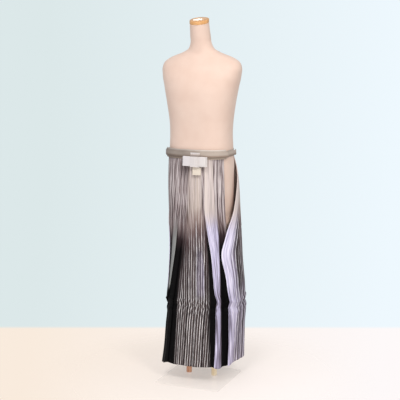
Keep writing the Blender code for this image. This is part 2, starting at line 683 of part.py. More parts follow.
def build_knot_wrap(bar_front_y):
    """The strap that passes over the straps, down the bar's face and under it."""
    back_y = knot_front_y() - SEAM_GAP
    bar_top = BAR_MIDDLE_Z + BAR_HEIGHT / 2 + SEAM_GAP
    bar_bottom = BAR_MIDDLE_Z - BAR_HEIGHT / 2 - SEAM_GAP
    face_y = bar_front_y - SEAM_GAP
    t = WRAP_THICKNESS
    round_off = 0.4 * t
    inner = [(back_y, WRAP_TOP_Z), (back_y, bar_top), (face_y, bar_top), (face_y, bar_bottom),
             (back_y, bar_bottom)]
    outer = [(back_y, bar_bottom - t), (face_y - round_off, bar_bottom - t),
             (face_y - t, bar_bottom - round_off), (face_y - t, bar_top + round_off),
             (face_y - round_off, bar_top + t), (back_y - t, bar_top + t + round_off),
             (back_y - t, WRAP_TOP_Z)]
    x = KNOT_X - WRAP_WIDTH / 2
    profile = [(x, y, z) for y, z in inner + outer]
    extrude_outline("knot_wrap", profile, (WRAP_WIDTH, 0, 0), "white_silk")
    return bar_bottom - t


def build_knot_tail(wrap_bottom_z):
    """The short end of the strap, a folded square that hangs below the bar."""
    back_y = knot_front_y() - SEAM_GAP
    top = wrap_bottom_z - SEAM_GAP
    bottom = top - TAIL_HEIGHT
    foot_y = back_y - TAIL_LEAN
    profile = [(back_y, top), (foot_y, bottom + TAIL_EDGE), (foot_y - TAIL_THICKNESS / 2, bottom),
               (foot_y - TAIL_THICKNESS, bottom + TAIL_EDGE), (back_y - TAIL_THICKNESS, top)]
    x = TAIL_X - TAIL_WIDTH / 2
    extrude_outline("knot_tail", [(x, y, z) for y, z in profile], (TAIL_WIDTH, 0, 0), "white_silk")


# ---------------------------------------------------------------- dress form and stand
def loft(name, rings, material_name):
    """A closed solid through rings that have the same number of points, smooth to look at."""
    builder = bmesh.new()
    loops = [[builder.verts.new(point) for point in ring] for ring in rings]
    for lower, upper in zip(loops, loops[1:]):
        count = len(lower)
        for j in range(count):
            k = (j + 1) % count
            builder.faces.new((lower[j], lower[k], upper[k], upper[j]))
    builder.faces.new(loops[0][::-1])
    builder.faces.new(loops[-1])
    item = add_object(name, builder, material_name)
    item.data.shade_smooth()
    return item


def neck_rise(y, z):
    """How much the neck's slope lifts a point that lies y behind the neck's middle at height z."""
    share = (z - NECK_SLOPE_FROM_Z) / (TORSO_RINGS[-1].z - NECK_SLOPE_FROM_Z)
    return min(max(share, 0.0), 1.0) * NECK_SLOPE * y


def torso_ring(ring):
    angles = np.linspace(-math.pi, math.pi, TORSO_SIDES + 1)[:-1]
    x, y = oblong(angles, ring.half_width, ring.front, ring.back, ring.power)
    return [(px, py + ring.shift_y, ring.z + neck_rise(py, ring.z)) for px, py in zip(x, y)]


def waist_ring(z):
    outline = Outline(z)
    around = np.linspace(-outline.back_right, outline.back_left, TORSO_SIDES + 1)[:-1]
    return [(*outline.point(s, TORSO_INSET + TORSO_EASE), z) for s in around]


def build_form():
    rings = [torso_ring(ring) for ring in TORSO_RINGS] + [waist_ring(z) for z in WAIST_RING_ZS]
    rings.sort(key=lambda ring: ring[0][2])
    loft("form_torso", rings, "form_jersey")


def build_neck_cap():
    top = TORSO_RINGS[-1]
    angles = np.linspace(0, 2 * math.pi, ROUND_SIDES + 1)[:-1]
    rings = []
    for ring in NECK_CAP_RINGS:
        radius = (top.front + NECK_CAP_OVERHANG) * ring.wide
        z = top.z + SEAM_GAP + ring.up * NECK_CAP_HEIGHT
        plan = [(radius * math.sin(a), -radius * math.cos(a)) for a in angles]
        rings.append([(x, top.shift_y + y, z + neck_rise(y, z)) for x, y in plan])
    loft("form_neck_cap", rings, "cap_wood")


def build_base_board():
    """The board under the torso; returns the height of its underside."""
    board = BASE_BOARD
    top = TORSO_RINGS[0].z - SEAM_GAP
    bottom = top - board.height
    angles = np.linspace(-math.pi, math.pi, TORSO_SIDES + 1)[:-1]
    rings = []
    for z, inset in ((bottom, board.edge), (bottom + board.edge, 0.0), (top - board.edge, 0.0),
                     (top, board.edge)):
        half_depth = board.half_depth - inset
        x, y = oblong(angles, board.half_width - inset, half_depth, half_depth, board.power)
        rings.append([(px, py + board.shift_y, z) for px, py in zip(x, y)])
    loft("form_base_board", rings, "post_wood")
    return bottom


def build_posts(board_bottom):
    for name, side in (("post_left", 1), ("post_right", -1)):
        builder = bmesh.new()
        length = board_bottom - PLATE_HEIGHT - 2 * SEAM_GAP
        bmesh.ops.create_cone(builder, cap_ends=True, segments=ROUND_SIDES, radius1=POST_RADIUS,
                              radius2=POST_RADIUS, depth=length)
        middle = PLATE_HEIGHT + SEAM_GAP + length / 2
        bmesh.ops.translate(builder, verts=builder.verts, vec=(side * POST_SPACING / 2, 0, middle))
        post = add_object(name, builder, "post_wood")
        post.data.shade_smooth()
        post.data.set_sharp_from_angle(angle=math.radians(40))


def build_plate():
    builder = bmesh.new()
    bmesh.ops.create_cube(builder, size=1.0)
    bmesh.ops.scale(builder, verts=builder.verts, vec=(PLATE_SIZE, PLATE_SIZE, PLATE_HEIGHT))
    bmesh.ops.translate(builder, verts=builder.verts, vec=(0, PLATE_CENTRE_Y, PLATE_HEIGHT / 2))
    upright = [edge for edge in builder.edges
               if abs(edge.verts[0].co.z - edge.verts[1].co.z) > PLATE_HEIGHT / 2]
    bmesh.ops.bevel(builder, geom=upright, offset=PLATE_CORNER, segments=4, affect="EDGES", profile=0.5)
    rim = [edge for edge in builder.edges
           if min(vert.co.z for vert in edge.verts) > PLATE_HEIGHT - SEAM_GAP]
    bmesh.ops.bevel(builder, geom=rim, offset=PLATE_EDGE, segments=1, affect="EDGES", profile=0.5)
    add_object("base_plate", builder, "plate_glass")


def main():
    clear_scene()
    build_panels()
    build_gussets()
    build_front_band()
    build_front_strap()
    build_back_straps()
    build_back_board()
    bar_front_y = build_knot_bar()
    wrap_bottom_z = build_knot_wrap(bar_front_y)
    build_knot_tail(wrap_bottom_z)
    build_form()
    build_neck_cap()
    board_bottom = build_base_board()
    build_posts(board_bottom)
    build_plate()


main()
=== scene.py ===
import functools
import math

import bmesh
import bpy
import numpy as np
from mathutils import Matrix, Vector


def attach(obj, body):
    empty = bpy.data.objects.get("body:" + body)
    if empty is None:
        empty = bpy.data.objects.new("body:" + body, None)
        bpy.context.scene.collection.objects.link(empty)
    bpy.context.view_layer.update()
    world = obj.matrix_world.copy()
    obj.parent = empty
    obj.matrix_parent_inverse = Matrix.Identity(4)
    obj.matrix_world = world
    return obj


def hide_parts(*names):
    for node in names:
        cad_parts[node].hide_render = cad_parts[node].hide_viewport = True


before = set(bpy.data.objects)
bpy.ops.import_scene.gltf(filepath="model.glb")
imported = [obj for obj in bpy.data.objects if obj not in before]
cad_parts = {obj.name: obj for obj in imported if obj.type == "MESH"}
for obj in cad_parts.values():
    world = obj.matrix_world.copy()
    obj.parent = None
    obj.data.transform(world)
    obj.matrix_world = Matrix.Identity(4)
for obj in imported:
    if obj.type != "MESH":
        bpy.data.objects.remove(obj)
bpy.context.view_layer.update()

# Pleated hakama on a dress form. The front faces -Y, the wearer's left is +X, and the plate stands on Z = 0.
# Cloth hangs on an outline that changes with height: s runs along it from centre front, positive to the
# wearer's left, and depth is how far a layer lies inside it.

def inMetres(table, *plain):  # the tables give millimetres, apart from their plain columns
    return {name: values if name in plain else np.array(values) / 1000 for name, values in table.items()}


hang = inMetres({  # the rounded oblong that the cloth hangs on, from the hem up
    "z":         [50, 160, 250, 320, 355, 385, 430, 500, 560, 620, 760, 900, 1010, 1050, 1110],
    "halfWidth": [161, 159, 161, 163.5, 165.5, 167, 165.5, 162, 160.5, 161, 160, 158, 150, 149, 146],
    "front":     [141, 137, 133.5, 131, 130, 128.5, 127, 124.5, 122, 120, 120, 118, 113, 112, 112],
    "back":      [159, 154, 149, 145.5, 143.5, 142, 140, 136, 133, 130, 130, 124, 106, 104, 103],
    "shiftX":    [-4.2, 5.3, 11, 17.4, 15.7, 13.9, 15.2, 15.9, 15.6, 14.8, 9, 4, 0, 0, 0],
    "shiftY":    [19.5, 17.6, 16.1, 15, 14.4, 13.9, 13.2, 12, 11, 10, 6, 2, 0, 0, 0],
    "skew":      [0.114, 0.093, 0.074, 0.06, 0.053, 0.047, 0.038, 0.024, 0.012] + [0.0] * 6,
    "power":     [3.86, 3.6, 3.39, 3.22, 3.14, 3.06, 2.96, 2.79, 2.64, 2.5, 2.5, 2.5, 2.5, 2.5, 2.5],
}, "skew", "power")
folds = inMetres({  # where the folds lie, and where the colours change, as distances from centre front
    "z":          [50, 180, 290, 355, 378, 407, 486, 600, 650, 700, 760, 900, 1010],
    "centre":     [2, 9.5, 15.9, 21.9, 21.5, 21.2, 20, 20.5, 19.5, 19.5, 19, 19, 18],
    "left2":      [103, 108, 110, 111, 115, 106.5, 97, 84, 75, 68, 60, 58, 56],
    "leftSide":   [196, 195.5, 189.5, 187.5, 190.5, 184.5, 172, 151, 156, 156, 153, 148, 145],
    "leftBack":   [178, 177.5, 171.5, 169.5, 172.5, 166.5, 154, 133, 146, 162, 192, 250, 297],
    "right1":     [72, 65, 60, 57, 55, 52, 45, 36, 31, 28, 24, 16.5, 12],
    "right2":     [124, 112, 102, 97, 93, 88, 77, 61, 53, 48, 41, 31, 27],
    "right3":     [180, 167, 158, 146, 133, 126, 111.5, 90.5, 83, 75, 66, 49, 42],
    "rightSide":  [244, 230, 220, 213, 206, 201, 186, 168, 164, 162, 156, 148, 145],
    "rightBack":  [226, 212, 202, 195, 188, 183, 168, 150, 156, 168, 195, 250, 297],
    "leftBlack":  [94, 88, 85, 87, 88, 86, 82, 74, 67, 61, 54, 51, 49],
    "leftLilac":  [140, 136.5, 133.5, 132, 131.5, 130.6, 127.5, 123, 120, 117, 112, 102, 95],
    "rightBlack": [88, 83, 79, 77.5, 77, 77, 70, 57, 50, 44, 38, 22, 18.5],
})
relief = inMetres({  # the face beside the back's leading fold: it swells to a ridge, then sinks in a recess
    "z":           [50, 180, 330, 378, 486, 600, 700],
    "ridge":       [3.6, 2.6, 1.8, 2.6, 1.2, 0.5, 0],
    "recess":      [15, 12, 10, 11, 6, 2, 0],
    "rightRecess": [10, 8, 6, 5, 2, 1, 0],
})
spread = {  # how the ridge and the recess lie across that face, smoothed over a few of its steps
    "share":  [0.00, 0.14, 0.30, 0.44, 0.58, 0.74, 0.90, 1.00],
    "ridge":  [0.00, 0.70, 1.00, 0.30, 0.00, 0.00, 0.00, 0.00],
    "recess": [0.00, 0.00, 0.00, 0.20, 0.75, 1.00, 0.85, 0.50],
    "steps": 40, "window": 5,
}
turns = inMetres({  # how far the cloth turns back under a fold
    "z":         [50, 400, 760, 1010],
    "centre":    [20, 18, 16, 14],
    "front":     [18, 16, 11, 8],
    "back":      [30, 26, 20, 14],
    "backPleat": [50, 42, 30, 18],
})
hem = inMetres({  # how much lower the hem hangs along the outline
    "s":     [-480, -230, -176, -152, -125, -95, -20, 40, 94, 112, 178, 200, 235, 300, 480],
    "drop":  [0, 0, 12, 8, -2, 0, 3, 0, -4, 3, 3, 0, -5, 0, 0],
    "fadeZ": 300,
})
cloth = {
    "hemZ": 0.078, "waistZ": 1.010, "crotchZ": 0.460, "thickness": 0.0010,
    "layer": 0.0022,       # spacing of the layers in a pleat
    "wall": 0.0012,        # wall and seam gap that the pieces were cut for
    "gap": 0.0003, "backGap": 0.00035,
    "rowHeight": 0.0060, "girthSteps": 720, "creasedTo": 0.9,
    "rounding": 5,         # passes that soften the folds
}
# pressed lines where the garment was folded away, right round: height, half height, how far out
pressed = inMetres({
    "z":    [372, 347, 325, 702, 690],
    "half": [8.5, 10, 11, 8, 8],
    "out":  [4, -4, 2.2, 0.8, -0.7],
})
# soft vertical troughs and ridges in the hanging cloth: where each starts and ends, its half width and depth
creases = inMetres({
    "s":     [34, 66, 100, 142, 206, 238, 276, 318, 352, 396, 436, -12, -36, -60, -98, -128, -208, -244,
              -290, -330, -372, -412, -446],
    "foot":  [40, 74, 118, 150, 214, 252, 296, 330, 378, 420, 470, -24, -52, -84, -128, -150, -222, -262,
              -300, -352, -392, -440, -480],
    "top":   [560, 470, 430, 500, 600, 520, 780, 480, 840, 560, 700, 420, 560, 360, 520, 300, 640, 500, 800,
              460, 760, 540, 680],
    "low":   [120, 78, 78, 190, 78, 100, 78, 78, 78, 140, 78, 78, 78, 78, 78, 78, 78, 78, 120, 78, 78, 78,
              100],
    "half":  [8, 10, 9, 8, 13, 11, 17, 10, 20, 13, 16, 7, 10, 8, 12, 9, 13, 12, 18, 11, 18, 14, 15],
    "depth": [0.9, -0.8, 1.2, 1, 2.4, -1.4, 3.2, -1.6, 3.6, 2.2, -2.6, -0.6, 0.9, -0.7, 1.4, 1, 2.6, -1.6,
              3.4, -1.4, 3.6, 2, -2.4],
})
# how the pressed lines and the creases sway: how far, how fast along the cloth and from what angle
swaying = {"pressed": [(0.0035, 31.0, 0.0), (0.0020, 83.0, 1.3)], "crease": (0.002, 40), "below": 0.02}
# the pressed lines throw the stripes to and fro, by so much at each height
zigzag = inMetres({
    "z":     [296, 312, 327, 342, 357, 372, 386, 402],
    "shift": [0, 1.4, -1.7, 2.3, -2.4, 1.8, -1.1, 0],
    "turns": 330.0, "from": 0.7,
}, "turns", "from")


def curveAt(heights, values, z):  # reads a smooth curve through the values at height z
    slopes = np.gradient(values, heights, axis=0)
    i = min(int(np.searchsorted(heights, z, side="right")) - 1, len(heights) - 2)
    step = heights[i + 1] - heights[i]
    t = (z - heights[i]) / step
    return (1 + 2 * t) * (1 - t) ** 2 * values[i] + t * (1 - t) ** 2 * step * slopes[i] \
        + t * t * (3 - 2 * t) * values[i + 1] + t * t * (t - 1) * step * slopes[i + 1]


def smoothAt(table, column, z):  # reads one column of a table at height z
    heights = table["z"]
    return float(curveAt(heights, table[column], min(max(z, heights[0]), heights[-1])))


def foldsAt(z, *names):  # where folds and changes of colour lie at height z
    return [smoothAt(folds, name, z) for name in names]


def runAlong(points):  # how far each point lies along a line of points
    return np.concatenate([[0.0], np.cumsum(np.linalg.norm(np.diff(points, axis=0), axis=1))])


def rowAt(z, *columns):  # adds a last column with the height
    return np.column_stack([*columns, np.full(len(columns[0]), z)])


def evenOut(line, passes):  # softens corners, and leaves the ends where they are
    for _ in range(passes):
        line[1:-1] = line[:-2] * 0.25 + line[1:-1] * 0.5 + line[2:] * 0.25


def eased(distance, start, run):
    t = np.clip((distance - start) / run, 0, 1)
    return t * t * (3 - 2 * t)


def oblong(angles, halfWidth, front, back, power):  # angle 0 is centre front and grows towards +X
    sines, cosines = np.sin(angles), np.cos(angles)
    depths = np.where(cosines > 0, front, back)
    radii = (np.abs(sines / halfWidth) ** power + np.abs(cosines / depths) ** power) ** (-1 / power)
    return radii * sines, -radii * cosines


hangLines = {}


def hangLine(z):  # the outline at one height: distances, points, normals and half girths
    key = round(z, 6)
    if key not in hangLines:
        angles = np.linspace(-math.pi, math.pi, cloth["girthSteps"] + 1)
        sizes = [smoothAt(hang, name, z) for name in list(hang)[1:]]
        halfWidth, front, back, shiftX, shiftY, skew, power = sizes
        x, y = oblong(angles, halfWidth, front, back, power)
        x = x + shiftX + skew * y
        y = y + shiftY
        lengths = runAlong(np.column_stack([x, y]))
        inFront = np.abs(angles) < math.pi / 3
        s = lengths - np.interp(0.0, x[inFront], lengths[inFront])
        hangLines[key] = {"s": s, "x": x, "y": y, "nx": np.gradient(y, s), "ny": -np.gradient(x, s),
                          "left": s[-1], "right": -s[0]}
    return hangLines[key]


def bump(offset, half):  # 1 in the middle, 0 at the half width, smooth between
    t = np.clip(np.abs(offset) / half, 0, 1)
    return (1 - t * t) ** 2


def undulation(s, z):  # how far the creases push the cloth inwards
    depth = np.zeros_like(s)
    sway = sum(size * np.sin(s * turning + start) for size, turning, start in swaying["pressed"])
    for height, half, out in zip(*pressed.values()):
        depth -= out * bump(z + sway - height, half)
    size, turning = swaying["crease"]
    for k, (start, foot, top, low, half, crease) in enumerate(zip(*creases.values())):
        share = (top - z) / (top - low)
        if share > 0 and z >= low - swaying["below"]:
            middle = start + (foot - start) * share + size * math.sin(z * turning + k)
            depth += crease * math.sin(min(share, 1.0) * math.pi / 2) ** 2 * bump(s - middle, half)
    return depth


def onCloth(z, s, depth, creased=True):  # the plan point at a distance and a depth
    line = hangLine(z)
    s = np.asarray(s, float)
    if creased and z < cloth["creasedTo"]:
        depth = depth + undulation(s, z)
    nx, ny = np.interp(s, line["s"], line["nx"]), np.interp(s, line["s"], line["ny"])
    size = np.hypot(nx, ny)
    return np.interp(s, line["s"], line["x"]) - depth * nx / size, \
        np.interp(s, line["s"], line["y"]) - depth * ny / size


def foldEdge(at, slope, tone, steps):  # a rounded edge; the next face starts at its end
    g = cloth["layer"]
    return [(at + g / 2, g + slope * g / 2, *tone, 3), (at, g / 2, *tone, 3),
            (at + g / 2, slope * g / 2, *tone, steps)]


def turnUnder(at, width, slope, here, there, steps):  # a face that runs under the next fold and comes back
    g = cloth["layer"]
    return [(at, 2 * g, *here, 6), (at + width - g / 2, 2 * g + slope * (width - g / 2), *here, 3),
            (at + width, 1.5 * g + slope * width, *here, 3),
            (at + width - g / 2, g + slope * (width - g / 2), *there, 6)] + foldEdge(at, slope, there, steps)


def onFace(fold, slope, *rows):  # points on the face behind a fold, given as places, colours and steps
    return [(at, slope * (at - fold), *tone, steps) for at, tone, steps in rows]


def centreSeam(z):
    return smoothAt(folds, "centre", z) + smoothAt(turns, "centre", z)


def centreTurnDepth(z):
    centre, second = foldsAt(z, "centre", "left2")
    return cloth["layer"] + 2 * cloth["layer"] / (second - centre) * (centreSeam(z) - centre)


def reliefDepth(s, start, end, side, ridge, recess):  # it dies away between the face's end and the side
    share = (s - start) / (end - start)
    left = 1 - eased(s, end, side - end)
    smooth = np.linspace(0, 1, spread["steps"] + 1)
    window = np.ones(spread["window"]) / spread["window"]
    ridges = np.convolve(np.interp(smooth, spread["share"], spread["ridge"]), window, "same")
    recesses = np.convolve(np.pad(np.interp(smooth, spread["share"], spread["recess"]), len(window) // 2,
                                  "edge"), window, "valid")
    return left * (recess * np.interp(share, smooth, recesses) - ridge * np.interp(share, smooth, ridges))


# colours of a stretch of cloth are two numbers: how lilac it is (below nothing: how far it is painted grey,
# as painted shade on a lilac strip), and how striped
striped, black = (0.0, 1.0), (0.0, 0.0)
least = 0.006          # a turned edge and the edge over it never come nearer than this
edgeWidth = 0.004      # half the width over which one colour turns to the next
fadeWidth = 0.022      # the stripes die away over this width
foldHighlightWidth = 0.040    # the painted highlight beside the centre pleat's fold, and the width over which it ends
foldHighlightEnd = 0.003
lilacStrip = {"pale": 0.78, "dull": 0.58, "dullAt": 0.35}    # painted paler at its fold than over most of its width: a painted highlight along the fold of the lilac cloth
# where the colours of the back's broad face change, as shares of its width
backShares = {"first": 0.10, "striped": 0.17, "deep": 0.26, "deepEnds": 0.60, "dark": 0.82, "inner": 0.86}
dyeAndPaintedLightChanges = {  # how a colour changes with height: by how much, from which height, over how much height; the entries for the strip beside the centre pleat give a painted highlight, those for the strip beyond the wearer's right third fold give painted shade, and the rest are changes of dye
    "bright": (0.36, 0.37, 0.06), "foldHighlightEnds": (1.0, 0.56, 0.08), "pale": (0.20, 0.36, 0.16),
    "weaker": (-0.45, 0.37, 0.06), "weakest": (-0.42, 0.44, 0.12), "fading": (-0.72, 0.50, 0.12),
    "dimWidth": (1.0, 0.40, 0.12), "shadedLilac": (-0.76, 0.405, 0.035), "shadedLilacWidth": (0.020, 0.42, 0.20),
    "high": (1.0, 0.38, 0.10), "inner": (0.9, 0.66, 0.10),
}


def dyeAndPaintedLightChange(name, z):  # how far a change has come at height z
    amount, start, run = dyeAndPaintedLightChanges[name]
    return amount * float(eased(z, start, run))


def frontLeftPath(z):  # corners from the centre pleat to the side: distance, depth, tone and steps
    centre, second, side, lead = foldsAt(z, "centre", "left2", "leftSide", "leftBack")
    dark, lilac = foldsAt(z, "leftBlack", "leftLilac")
    under = min(lead, side - least)
    g = cloth["layer"]
    slope = 2 * g / (second - centre)
    dark = min(dark, second - least)
    # painted highlight: a pale lilac tint on the striped face beside the centre pleat's fold, standing for
    # the light its rim catches
    bright = (dyeAndPaintedLightChange("bright", z) * (1 - dyeAndPaintedLightChange("foldHighlightEnds", z)), 1.0)
    rise = dyeAndPaintedLightChange("pale", z)
    pale, dull = (lilacStrip["pale"] + rise, 0.0), (lilacStrip["dull"] + rise, 0.0)
    highlightTo = min(centre + foldHighlightWidth, dark - fadeWidth - edgeWidth)
    path = [(centreSeam(z), centreTurnDepth(z), *bright, 8)] + foldEdge(centre, slope, bright, 8)
    path += onFace(centre, slope, (highlightTo, bright, 3), (highlightTo + foldHighlightEnd, striped, 8),
                   (dark - fadeWidth, striped, 6), (dark, black, 6))
    slope = 2 * g / (under - second)
    path += turnUnder(second, smoothAt(turns, "front", z), slope, black, pale, 8)
    path += onFace(second, slope, (second + (lilac - second) * lilacStrip["dullAt"], dull, 8),
                   (lilac - edgeWidth, dull, 5), (lilac + edgeWidth, black, 22))
    path += [(under, 2 * g, *black, 6), (side, 2 * g, *black, 0)]
    return path, [(second, under, side, smoothAt(relief, "ridge", z), smoothAt(relief, "recess", z))]


def frontRightPath(z):  # the same on the wearer's right, over three pleats
    g = cloth["layer"]
    centre, side, lead, dark = foldsAt(z, "centre", "rightSide", "rightBack", "rightBlack")
    marks = foldsAt(z, "right1", "right2", "right3")
    under = min(lead, side - least)
    turn = smoothAt(turns, "front", z)
    dark = min(max(dark, marks[0] + 2 * edgeWidth), marks[1] - edgeWidth)
    depth = centreTurnDepth(z) + cloth["wall"] + cloth["gap"]
    path = [(-centreSeam(z) + cloth["wall"], depth, *striped, 8), (-centre, 2 * g, *striped, 16)]
    slopes = [2 * g / (b - a) for a, b in zip(marks, marks[1:] + [under])]
    weaker = (0.0, 1 + dyeAndPaintedLightChange("weaker", z) + dyeAndPaintedLightChange("weakest", z))
    fading = (0.0, 1 + dyeAndPaintedLightChange("fading", z))
    path += turnUnder(marks[0], turn, slopes[0], fading, weaker, 8)
    dim = max(dark - fadeWidth * (1 + dyeAndPaintedLightChange("dimWidth", z)), marks[0] + edgeWidth)
    path += onFace(marks[0], slopes[0], (dim, weaker, 5), (dark, black, 7))
    path += turnUnder(marks[1], turn, slopes[1], black, black, 16)
    # painted shade: the lilac strip beyond the third fold is painted grey, as lilac looks in shade
    shadedLilac = (dyeAndPaintedLightChange("shadedLilac", z), 0.0)
    path += turnUnder(marks[2], turn, slopes[2], black, shadedLilac, 7)
    pale = marks[2] + 2 * edgeWidth + dyeAndPaintedLightChange("shadedLilacWidth", z)
    path += onFace(marks[2], slopes[2], (pale - edgeWidth, shadedLilac, 4), (pale + edgeWidth, black, 22))
    path += [(under, 2 * g, *black, 6), (side, 2 * g, *black, 0)]
    return path, [(marks[2], under, side, smoothAt(relief, "ridge", z), smoothAt(relief, "rightRecess", z))]


def backPath(side, z):  # from under the leading fold at the side to the seam at centre back
    g = cloth["layer"]
    lead, end = foldsAt(z, side + "Back", side + "Side")
    halfGirth = hangLine(z)[side]
    turn = max(end - lead, least)
    pleat = halfGirth - smoothAt(turns, "backPleat", z)
    under = smoothAt(turns, "back", z)
    face = pleat - lead
    high = dyeAndPaintedLightChange("high", z)      # darker between the stripes above the pressed lines
    # painted highlight: the leading fold is painted a paler lilac than the face beside it, for the light on
    # its rim
    foldHighlightTone = (0.82 + 0.18 * high, 0.0)
    inner = (0.0, dyeAndPaintedLightChange("inner", z))   # black, but beige like the rest near the waist
    path = [(lead + turn, 2 * g - cloth["wall"] - cloth["gap"], *foldHighlightTone, 8)]
    path += foldEdge(lead, 0.0, foldHighlightTone, 10)
    tones = [((0.72 + 0.20 * high, 0.60), 8), ((0.62, 1.0), 8), ((0.40 - 0.32 * high, 1.0), 12),
             ((0.42 - 0.34 * high, 1.0), 12), (striped, 4), (inner, 8)]
    path += [(lead + share * face, 0.0, *tone, steps)
             for share, (tone, steps) in zip(backShares.values(), tones)]
    path += [(pleat - g / 2, 0.0, *inner, 3), (pleat, g / 2, *inner, 3), (pleat - g / 2, g, *inner, 6),
             (pleat - under + g / 2, g, *inner, 3), (pleat - under, 1.5 * g, *inner, 3),
             (pleat - under + g / 2, 2 * g, *inner, 6), (pleat, 2 * g, *striped, 8),
             (halfGirth - cloth["backGap"], 2 * g, *striped, 0)]
    return path, []


def divided(corners, counts):  # puts points between the corners
    points = [corners[:1]]
    for a, b, count in zip(corners, corners[1:], counts):
        points.append(a + (b - a) * (np.arange(1, count + 1) / count)[:, None])
    return np.vstack(points)


def panelRows():  # the heights of a panel's rows of points
    count = round((cloth["waistZ"] - cloth["hemZ"]) / cloth["rowHeight"])
    return np.linspace(cloth["hemZ"], cloth["waistZ"], count + 1)


def hemDrop(s, z):
    fade = max(0.0, (hem["fadeZ"] - z) / (hem["fadeZ"] - cloth["hemZ"]))
    return np.interp(s, hem["s"], hem["drop"]) * fade ** 2


def pieceFrom(builder, name, sharpest=180):  # the finished mesh; edges sharper than this angle stay sharp
    mesh = bpy.data.meshes.new(name)
    builder.to_mesh(mesh)
    builder.free()
    mesh.shade_smooth()
    if sharpest < 180:
        mesh.set_sharp_from_angle(angle=math.radians(sharpest))
    piece = bpy.data.objects.new(name, mesh)
    bpy.context.scene.collection.objects.link(piece)
    return piece


def finishPiece(piece, node, material):
    piece.data.materials.append(material)
    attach(piece, "root")
    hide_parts(node)


def layPiece(node, material, rows, thickness, rounding=None, closed=False, name=None):
    # a sheet laid through rows of points; a row also has its places on the flat cloth, and may have its tones
    points, *values = [np.array(part) for part in zip(*rows)]
    high, wide = points.shape[:2]
    builder = bmesh.new()
    bmesh.ops.create_grid(builder, x_segments=wide - 1, y_segments=high - 1, size=0.5)
    layers = [builder.loops.layers.uv.new(layer) for layer, _ in zip(("cut", "tone"), values)]
    place = {vert: (round((vert.co.y + 0.5) * (high - 1)), round((vert.co.x + 0.5) * (wide - 1)))
             for vert in builder.verts}
    for face in builder.faces:
        for loop in face.loops:
            for layer, value in zip(layers, values):
                loop[layer].uv = value[place[loop.vert]]
    for vert, where in place.items():
        vert.co = points[where]
    if closed:
        bmesh.ops.remove_doubles(builder, verts=builder.verts, dist=0.00005)
    bmesh.ops.recalc_face_normals(builder, faces=builder.faces)
    piece = pieceFrom(builder, name or "silk_" + node)
    if thickness:
        wall = piece.modifiers.new("wall", "SOLIDIFY")
        wall.thickness, wall.offset = thickness, 0.0
    if rounding:
        edge = piece.modifiers.new("edge", "BEVEL")
        edge.limit_method, edge.angle_limit = "ANGLE", 1.0
        edge.width, edge.segments = rounding
    finishPiece(piece, node, material)
    return piece


def makePanel(name, pathAt, mirrored, anchors, material,
              stripeScale=1.0):
    rows = []
    for z in panelRows():
        path, swells = pathAt(z)
        counts = [row[4] for row in path[:-1]]
        dots = divided(np.array([row[:4] for row in path]), counts)
        corners = np.concatenate([[0], np.cumsum(counts)])
        for swell in swells:
            inside = np.arange(len(dots)) >= corners[anchors[-1][1]]
            dots[inside, 1] += reliefDepth(dots[inside, 0], *swell)
        evenOut(dots[:, :2], cloth["rounding"])
        run = runAlong(dots[:, :2])
        across = np.zeros(len(dots))
        for first, edge in anchors:  # stripes are counted from each fold's own edge
            across[corners[first]:] = run[corners[first]:] - run[corners[edge]]
        across += np.interp(z, zigzag["z"], zigzag["shift"]) * np.sin(run * zigzag["turns"] + zigzag["from"])
        s = -dots[:, 0] if mirrored else dots[:, 0]
        x, y = onCloth(z, s, dots[:, 1])
        hung = np.column_stack([x, y, z - hemDrop(s, z)])
        rows.append((hung, rowAt(z, across * stripeScale), dots[:, 2:4]))
    piece = layPiece(name, material, rows, cloth["thickness"])
    print(name, "cloth at hem and waist", [round(float(runAlong(rows[k][0])[-1]), 3) for k in (0, -1)])


gusset = {"spread": 0.009, "parting": 0.0030, "leadIn": 0.018, "middle": 0.045, "rows": 60, "steps": 14,
          "tuck": 0.0006, "ripple": 0.0014, "ripplesRound": 42, "ripplesUp": 9, "striped": 0.8,
          "flat": (0.29, 0.382)}


def smoothRun(points, count):  # a smooth curve through plan points
    points = np.array(points, float)
    padded = np.vstack([2 * points[0] - points[1], points, 2 * points[-1] - points[-2]])
    run = []
    for a, b, c, d in zip(padded, padded[1:], padded[2:], padded[3:]):
        for t in np.arange(count) / count:
            run.append(0.5 * (2 * b + (c - a) * t + (2 * a - 5 * b + 4 * c - d) * t ** 2
                              + (3 * b - a - 3 * c + d) * t ** 3))
    return np.array(run + [padded[-2]])


def gussetPlan(z, side):  # from the front seam to the back seam; side is 1 on the wearer's left
    line = hangLine(z)
    closing = (cloth["crotchZ"] - z) / (cloth["crotchZ"] - cloth["hemZ"])
    half = cloth["wall"] / 2 + cloth["gap"]
    spreadHere = side * (half + gusset["spread"] * closing)
    parted = half + gusset["parting"] * closing
    front = centreTurnDepth(z)
    deep = front if side > 0 else front + 2 * (cloth["wall"] + cloth["gap"])
    back = 2 * cloth["layer"] + cloth["wall"] / 2 + gusset["tuck"]
    girth = line["left"] if side > 0 else line["right"]
    ends = [(centreSeam(z) + side * half, deep), (centreSeam(z) + side * parted, front + gusset["leadIn"]),
            (side * (girth - parted), back + gusset["leadIn"]), (side * (girth - half), back)]
    ends = [tuple(float(n) for n in onCloth(z, s, np.array(depth))) for s, depth in ends]
    middle = smoothAt(hang, "shiftX", z) + spreadHere
    points = ends[:2] + [(middle, -gusset["middle"]), (middle, gusset["middle"])] + ends[2:]
    return smoothRun(points, gusset["steps"])


def makeGusset(name, side, material):
    rows = []
    for z in np.linspace(cloth["hemZ"], cloth["crotchZ"], gusset["rows"]):
        plan = gussetPlan(z, side)
        run = runAlong(plan)
        plan[:, 0] += side * gusset["ripple"] * np.sin(np.pi * run / run[-1]) ** 2 \
            * np.sin(run * gusset["ripplesRound"] + z * gusset["ripplesUp"])
        rows.append((rowAt(z, plan), rowAt(z, run), np.tile((0.0, gusset["striped"]), (len(plan), 1))))
    piece = layPiece(name, material, rows, cloth["thickness"])


